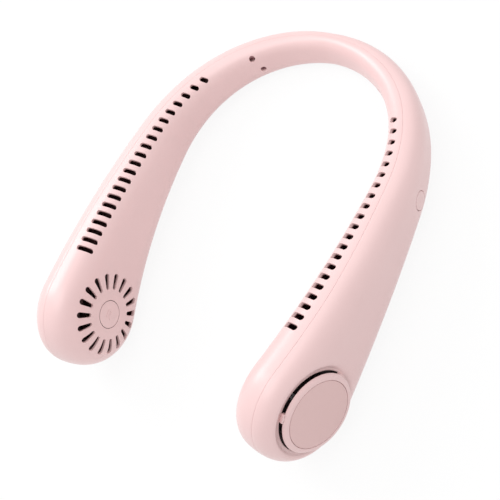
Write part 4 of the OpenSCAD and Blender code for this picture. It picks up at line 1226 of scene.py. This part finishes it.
unit /= (np.abs(unit) ** SQUARENESS).sum(1, keepdims=True) ** (1 / SQUARENESS)
levels = soft_path([(1.0, tab_top), (0, tab_top), (0, tab_low), (1.0, tab_low)], (TAB_EASE, 0.0), 3)
tab_points, tab_faces = stacked(tab_middle + unit * tab_half, [(1.0, tab_top), *levels, (1.0, tab_low)])
tucked = tab_points - [TUCK, 0, 0]
tucked[:, 2] = np.minimum(tucked[:, 2], TUCKED_RISE - CAP_H)
for i in range(TAB_COUNT):
    a = math.radians(FIRST_TAB + 360 / TAB_COUNT * i)
    turn = np.array([[math.cos(a), math.sin(a), 0], [-math.sin(a), math.cos(a), 0], [0, 0, 1]])
    bodies.append(((tucked if i else tab_points) @ turn, tab_faces))
points, faces = joined(bodies)
add_pair("cap_shell", to_band(cap_to_pod(points)), faces, "band", "shell_plastic", "intake_cap",
         np.zeros(len(points)))
print("a cap has", len(faces), "triangles, open edges", open_edges(faces))

# %% Inlays
INLAY_SUNK = 0.03
inlay_r, inlay_top = INLAY_R - GROOVE, -INLAY_SUNK
inlay_profile = [(0, inlay_top), (inlay_r, inlay_top), (inlay_r, -INLAY_T), (0, -INLAY_T)]
points, faces = turned_body(inlay_r, inlay_profile, (0.22, 0.1), MANY_POINTS)
add_pair("inlay_plate", to_band(cap_to_pod(points)), faces, "band", "inlay_plastic", "cap_inlay")
print("an inlay is", round(2 * inlay_r, 1), "mm across")

# %% [markdown]
# ## Marker discs
# In the middle of each grille sits a small flush disc that tells the wearer which side is which,
# with a letter raised by a quarter of a millimetre in the same plastic. The letter is set with
# Blender's own plain typeface, made a mesh first and moved to its place after that.

# %% Discs and the side letters
LETTER_SIZE, LETTER_STEPS, LETTER_T, LETTER_BEVEL = 6.8, 4, 0.34, 0.06
LETTER_FOOT, DISC_FOOT = 0.08, 0.1
disc_profile = [(0, DISC_T), (DISC_R, DISC_T), *((r, 0) for r in (DISC_R, 5.0, 2.5, 0))]
disc_points, disc_faces = turned_body(DISC_R, disc_profile, (0.05, 0.14, 0, 0))


def letter_mesh(letter):
    """A raised letter in mm, its middle at the origin."""
    text = bpy.data.curves.new("side_letter", "FONT")
    text.body, text.size, text.resolution_u = letter, LETTER_SIZE, LETTER_STEPS
    text.extrude, text.bevel_depth, text.bevel_resolution = LETTER_T / 2, LETTER_BEVEL, 1
    holder = bpy.data.objects.new("side_letter", text)
    scene.collection.objects.link(holder)
    made = bpy.data.meshes.new_from_object(holder.evaluated_get(bpy.context.evaluated_depsgraph_get()))
    bpy.data.objects.remove(holder)
    points, faces = places(made), [tuple(p.vertices) for p in made.polygons]
    points[:, :2] -= (points[:, :2].max(0) + points[:, :2].min(0)) / 2
    return points, faces


def laid_on_face(points):
    """Points whose height is measured inwards from the skin, to the pod's own frame."""
    under = skin(pod_drawing(points[:, 0], points[:, 1], INNER), INNER)
    return np.column_stack([points[:, :2], from_band(under)[:, 2] + points[:, 2]])


for side, letter in (("left", "L"), ("right", "R")):
    mark, mark_faces = letter_mesh(letter)
    across = mark[:, 0] if side == "left" else -mark[:, 0]
    mark = np.column_stack([mark[:, 1], across, -mark[:, 2]])
    if side == "right":
        mark_faces = [f[::-1] for f in mark_faces]
    points = laid_on_face(np.concatenate([disc_points, mark]))
    faces = [tuple(f) for f in disc_faces] + [tuple(i + len(disc_points) for i in f) for f in mark_faces]
    # The disc's sunken side and the letter's foot are marked for painted shade, a dark line in the crease
    # round each.
    low = np.concatenate([disc_points[:, 2] > DISC_FOOT, mark[:, 2] > -LETTER_FOOT])
    add_piece(side + "_marker_disc", *on_side(side, to_band(points), faces), "band", "shell_plastic",
              side + "_side_disc", low, FINE_CREASE)
print("marker discs of", 2 * DISC_R, "mm")

# %% [markdown]
# ## The power button
# One round key in the outer face of the left arm. It is nearly flush, so all that shows is the
# ring of shadow round it and a soft edge. It rides on its own body, because it can be pressed.

# %% Button with its flange
FLANGE_LOW, FLANGE_T, FLANGE_R, KEY_TOP, KEY_GAP = 7.316, 0.8, 5.7, 30.0, 0.15
KEY_PROUD, KEY_RINGS, PAINTED_SHADE_BELOW, PAINTED_SHADE_OVER = 0.04, (0, 1.5, 3.0, 4.0), 9.6, 0.6
key_r, flange_top = BUTTON_R - KEY_GAP, FLANGE_LOW + FLANGE_T
key_profile = [*((r, KEY_TOP) for r in (*KEY_RINGS, key_r)), (key_r, flange_top),
               (FLANGE_R, flange_top), (FLANGE_R, FLANGE_LOW), (0, FLANGE_LOW)]
points, faces = turned_body(BUTTON_R, key_profile, (0, 0, 0, 0.3, 0.1, 0.1, 0.1))
on_top = points[:, 2] > KEY_TOP - 1
x_back, y_up = points[on_top, :2].T
over_key = from_band(skin(arm_drawing(BUTTON_RUN, button_up, x_back, y_up, OUTER), OUTER), BUTTON_RUN)
points[on_top, 2] += over_key[:, 2] + KEY_PROUD - KEY_TOP
# Below its top, the key's lower side and its flange get painted shade, for the ring of shadow round the key.
marks = np.where(on_top, 0, np.clip((PAINTED_SHADE_BELOW - points[:, 2]) / PAINTED_SHADE_OVER, 0, 1))
points = to_band(points, BUTTON_RUN, button_up)
add_piece("power_button_key", points, faces, "button", "shell_plastic", "power_button", marks)

# %% [markdown]
# ## Fan wheels
# Each pod holds a double centrifugal wheel: curved blades stand round the rim on both sides of a
# plate, as in the wheels that blow through slots. Blades repeat, so one blade is made from a
# small block whose points are bent along an arc by a formula, and Geometry Nodes set copies of it
# round the axis. The plate, the hub and the end rings are turned and join the blades in the tree.

# %% The wheel's recipe
WHEEL_R, BLADE_R_IN, BLADES, BLADE_T, BLADE_LEAN, TIP_GAP, ROOT = 21.0, 15.4, 28, 0.8, 26.0, 0.2, 0.2
WHEEL_LOW, PLATE_LOW, PLATE_TOP, WHEEL_TOP, CAN_LOW = -11.194, -2.794, -1.794, 9.106, -9.694
CAN_R, HUB_WALL, HUB_R, RING_W, RING_T = 10.65, 0.9, 2.25, 3.0, 1.0
BLADE_POINTS, WHEEL_CREASE = 7, 40
# The wheel's dark red is partly painted shade, so that the gap under each cap reads maroon-black.
finishes["wheel_plastic"] = plain_plastic("wheel_plastic", srgb(60, 40, 40), 0.5, 1500.0)
wheel = Recipe("fan_wheel", Blades=BLADES, Inner_radius=BLADE_R_IN, Outer_radius=WHEEL_R - TIP_GAP,
               Thickness=BLADE_T, Lean=math.radians(BLADE_LEAN))


def bent_blade(low, top):
    """A block whose long side follows the blade's arc, between two heights."""
    block = wheel.node("GeometryNodeMeshCube", {}, {"Vertices X": BLADE_POINTS})
    x = wheel.node("ShaderNodeSeparateXYZ", {}, {0: wheel.node("GeometryNodeInputPosition", {}, {})}, "X")
    k, t = x + 0.5, x.output("Y") * wheel.size["Thickness"]
    inner, outer = wheel.size["Inner_radius"], wheel.size["Outer_radius"]
    r = inner + (outer - inner) * k
    a = wheel.size["Lean"] * k * k * -1.0
    sine, cosine = a.sum("SINE", a), a.sum("COSINE", a)
    bent = wheel.node("ShaderNodeCombineXYZ", {}, {
        "X": r * cosine - t * sine, "Y": r * sine + t * cosine,
        "Z": (x.output("Z") + 0.5) * (top - low) + low})
    return wheel.node("GeometryNodeSetPosition", {}, {"Geometry": block, "Position": bent})


def in_a_ring(blade):
    """Copies of the blade round the axis."""
    spots = wheel.node("GeometryNodePoints", {}, {"Count": wheel.size["Blades"]})
    turn = wheel.node("GeometryNodeInputIndex", {}, {}) * (2 * math.pi) / wheel.size["Blades"]
    turn = wheel.node("ShaderNodeCombineXYZ", {}, {"Z": turn})
    turn = wheel.node("FunctionNodeEulerToRotation", {}, {0: turn})
    return wheel.node("GeometryNodeInstanceOnPoints", {}, {
        "Points": spots, "Instance": blade, "Rotation": turn})


blades = [in_a_ring(bent_blade(WHEEL_LOW + ROOT, PLATE_LOW + ROOT)),
          in_a_ring(bent_blade(PLATE_TOP - ROOT, WHEEL_TOP - ROOT))]
wheel.close(wheel.node("GeometryNodeJoinGeometry", {}, {0: [wheel.mesh, *blades]}), finishes["wheel_plastic"])
print("wheel recipe with", len(wheel.tree.nodes), "nodes")

# %% Turned rings, and both wheels


def turned_ring(r_in, r_out, low, top, ease=0.2, count=SOME_POINTS):
    """A closed ring with eased edges."""
    middle = ((r_in + r_out) / 2, top)
    corners = [middle, (r_out, top), (r_out, low), (r_in, low), (r_in, top), middle]
    loop = soft_path(corners, (ease,) * 4, 2)[:-1]
    turns, n = np.arange(count) * 2 * math.pi / count, len(loop)
    points = np.array([(r * math.cos(a), r * math.sin(a), h) for a in turns for r, h in loop])
    i, j = np.meshgrid(np.arange(count), np.arange(n), indexing="ij")
    a, b = i * n + j, i * n + (j + 1) % n
    c, d = (i + 1) % count * n + j, (i + 1) % count * n + (j + 1) % n
    return points, np.concatenate([np.stack([a, b, d], -1), np.stack([a, d, c], -1)]).reshape(-1, 3)


rim_in = WHEEL_R - RING_W
rings = joined([turned_ring(*sizes) for sizes in (
    (HUB_R, WHEEL_R, PLATE_LOW, PLATE_TOP), (CAN_R, CAN_R + HUB_WALL, CAN_LOW, PLATE_LOW + ROOT),
    (rim_in, WHEEL_R, WHEEL_LOW, WHEEL_LOW + RING_T), (rim_in, WHEEL_R, WHEEL_TOP - RING_T, WHEEL_TOP))])
made = wheel.run(make_mesh("wheel_rings", *rings, finishes["wheel_plastic"]))
faces = [tuple(p.vertices) for p in made.polygons]
add_pair("fan_wheel", to_band(places(made)), faces, "SIDE_fan", "wheel_plastic", "impeller",
         crease=WHEEL_CREASE)
print("a wheel has", len(faces), "faces, open edges", open_edges(faces))

# %% [markdown]
# ## Screws
# Two small screws on each side of the nape hold the halves together. They sit deep in round
# recesses, so from outside only a dark hole with a paler middle shows. One head with a six-sided
# socket is made, and a tree sets it on four points and turns it to face out of the shell.

# %% A screw, and the recipe that sets it
SCREW_SEATS, HEAD_R, HEAD_T, SHANK_IN, SHANK_LEN = (-4.958, -5.835), 1.5, 1.1, 0.6, 3.0
SOCKET_R, SOCKET_LOW, SOCKET_TOP, HEAD_POINTS = 0.75, 0.55, 0.05, 24
rim = circle(HEAD_R, HEAD_POINTS)
turns = np.arctan2(rim[:, 1], rim[:, 0])
six = SOCKET_R * math.cos(math.pi / 6) / np.cos((turns % (math.pi / 3)) - math.pi / 6)
levels = [(0.28, 0.0), (0.08, 0.08), (0.0, 0.28), (0.0, HEAD_T), (SHANK_IN, HEAD_T),
          (SHANK_IN, HEAD_T + SHANK_LEN)]
rings = [(six[:, None] * ray(turns), h) for h in (SOCKET_LOW, SOCKET_TOP)]
rings += [(rim * (1 - inset / HEAD_R), h) for inset, h in levels]
points, faces = lofted([np.column_stack([flat, np.full(HEAD_POINTS, h)]) for flat, h in rings],
                       [0, 0, SOCKET_LOW], [0, 0, HEAD_T + SHANK_LEN])
# The steel's pinkish-brown tint is painted shade and a painted reflection of the pink shell round it.
screw_steel = finishes["screw_steel"] = metal("screw_steel", srgb(168, 128, 130), 0.4, 2000.0)
screw_mesh = make_mesh("one_screw", points, faces[:, ::-1], screw_steel, crease=FINE_CREASE)
one_screw = bpy.data.objects.new("one_screw", screw_mesh)
setter = Recipe("screw_setter", Size=1.0)
given = setter.node("GeometryNodeObjectInfo", {}, {"Object": one_screw}, "Geometry")
facing = setter.node("FunctionNodeAlignRotationToVector", {"axis": "Z"}, {"Vector": setter.stored("inwards")})
setter.close(setter.node("GeometryNodeInstanceOnPoints", {}, {
    "Points": setter.mesh, "Instance": given, "Rotation": facing, "Scale": setter.size["Size"]}), screw_steel)
print("a screw has", len(faces), "faces")

# %% Four screws in their recesses
spots, aims = [], []
for (s, share), seat in zip(SCREWS, SCREW_SEATS):
    low, top = to_band([[0, 0, seat - HEAD_T], [0, 0, seat]], s, share * half_depth(s))
    for mirror in ([1, 1, 1], [-1, 1, 1]):
        spots.append(low * mirror)
        aims.append((top - low) * mirror)
seats = bpy.data.meshes.new("screw_seats")
seats.from_pydata(spots, [], [])
seats.attributes.new("inwards", "FLOAT_VECTOR", "POINT").data.foreach_set("vector", np.ravel(aims))
made = setter.run(seats)
bpy.data.objects.remove(one_screw)
faces = [tuple(p.vertices) for p in made.polygons]
add_piece("band_screws", places(made), faces, "band", "screw_steel", "shell_screws", crease=FINE_CREASE)
print("screws:", len(faces), "faces, open edges", open_edges(faces))

# %% [markdown]
# ## Finishes for the pieces that came with the model
# Motors, cells, board and leads sit inside and are seen only through a slot, if at all. They
# keep their form and get the finish of the real thing.

# %% Metals, wrap, board and leads
PLASTICS = {"liner_plastic": ((120, 86, 86), 0.55, 900.0), "cell_wrap": ((72, 122, 176), 0.3, 400.0),
            "board": ((24, 92, 56), 0.35, 1200.0), "black_plastic": ((32, 32, 34), 0.5, 1500.0),
            "cable_red": ((176, 42, 38), 0.45, 700.0)}
METALS = {"motor_steel": ((190, 190, 194), 0.3, 900.0), "magnet": ((70, 70, 74), 0.5, 1800.0),
          "core_steel": ((120, 120, 124), 0.5, 2400.0), "copper": ((196, 118, 70), 0.35, 3000.0),
          "brass": ((206, 170, 96), 0.3, 1200.0)}
for finisher, table in ((plain_plastic, PLASTICS), (metal, METALS)):
    for name, (colour, roughness, grain) in table.items():
        finishes[name] = finisher(name, srgb(*colour), roughness, grain)
slots = {p["node"]: p["material_slot"] for p in frame["record"]["subparts"]}
for name, piece in frame["nodes"].items():
    piece.data.materials.clear()
    piece.data.materials.append(finishes[slots[name]])
print("dressed", len(slots), "nodes in", len(set(slots.values())), "finishes")

# %% [markdown]
# ## The table and the light
# The picture is high-key: a white ground with hardly a shadow, a very large soft light over the
# fan and white all round. The floor shows white to the camera and to mirrors, and under that a
# share of a real matt white keeps the fan's shadow.

# %% The floor
FLOOR_HALF, PAPER, WHITE_SHARE = 3, (0.86, 0.86, 0.86), 0.9
floor_mesh = bpy.data.meshes.new("floor")
corners = [(x * FLOOR_HALF, y * FLOOR_HALF, 0) for x, y in ((-1, -1), (1, -1), (1, 1), (-1, 1))]
floor_mesh.from_pydata(corners, [], [(0, 1, 2, 3)])
floor = bpy.data.objects.new("floor", floor_mesh)
scene.collection.objects.link(floor)
paper = Finish("paper", base_color=PAPER, roughness=0.9)
seen = paper.node("ShaderNodeLightPath", {}, {}, "Is Camera Ray")
seen = seen.sum("MAXIMUM", seen, seen.output("Is Glossy Ray"))
white = paper.node("ShaderNodeEmission", {}, {"Color": (1, 1, 1)})
blend = paper.node("ShaderNodeMixShader", {}, {0: seen * WHITE_SHARE, 1: paper.shader, 2: white})
paper.put(paper.end.inputs["Surface"], blend)
floor_mesh.materials.append(paper.material)
print("a floor of", 2 * FLOOR_HALF, "m")

# %% World and lamps
WORLD_POWER, LAMP_POWER, LAMP_AIM = 0.76, 7.0, Vector((0, 0, 0.03))
world = bpy.data.worlds.new("white_room")
scene.world = world
world.use_nodes = True
sky = world.node_tree.nodes["Background"]
sky.inputs["Color"].default_value = (1.0, 1.0, 1.0, 1)
sky.inputs["Strength"].default_value = WORLD_POWER
LAMPS = (("overhead", (-0.1, 0.0, 1.4), 1.2), ("window", (-1.0, 0.25, 0.95), 0.7))
for name, place, size in LAMPS:
    lamp = bpy.data.lights.new(name, "AREA")
    lamp.shape, lamp.size, lamp.energy = "DISK", size, LAMP_POWER
    holder = bpy.data.objects.new(name, lamp)
    holder.location = place
    holder.rotation_euler = (LAMP_AIM - Vector(place)).to_track_quat("-Z", "Y").to_euler()
    scene.collection.objects.link(holder)
scene.view_settings.view_transform = "Standard"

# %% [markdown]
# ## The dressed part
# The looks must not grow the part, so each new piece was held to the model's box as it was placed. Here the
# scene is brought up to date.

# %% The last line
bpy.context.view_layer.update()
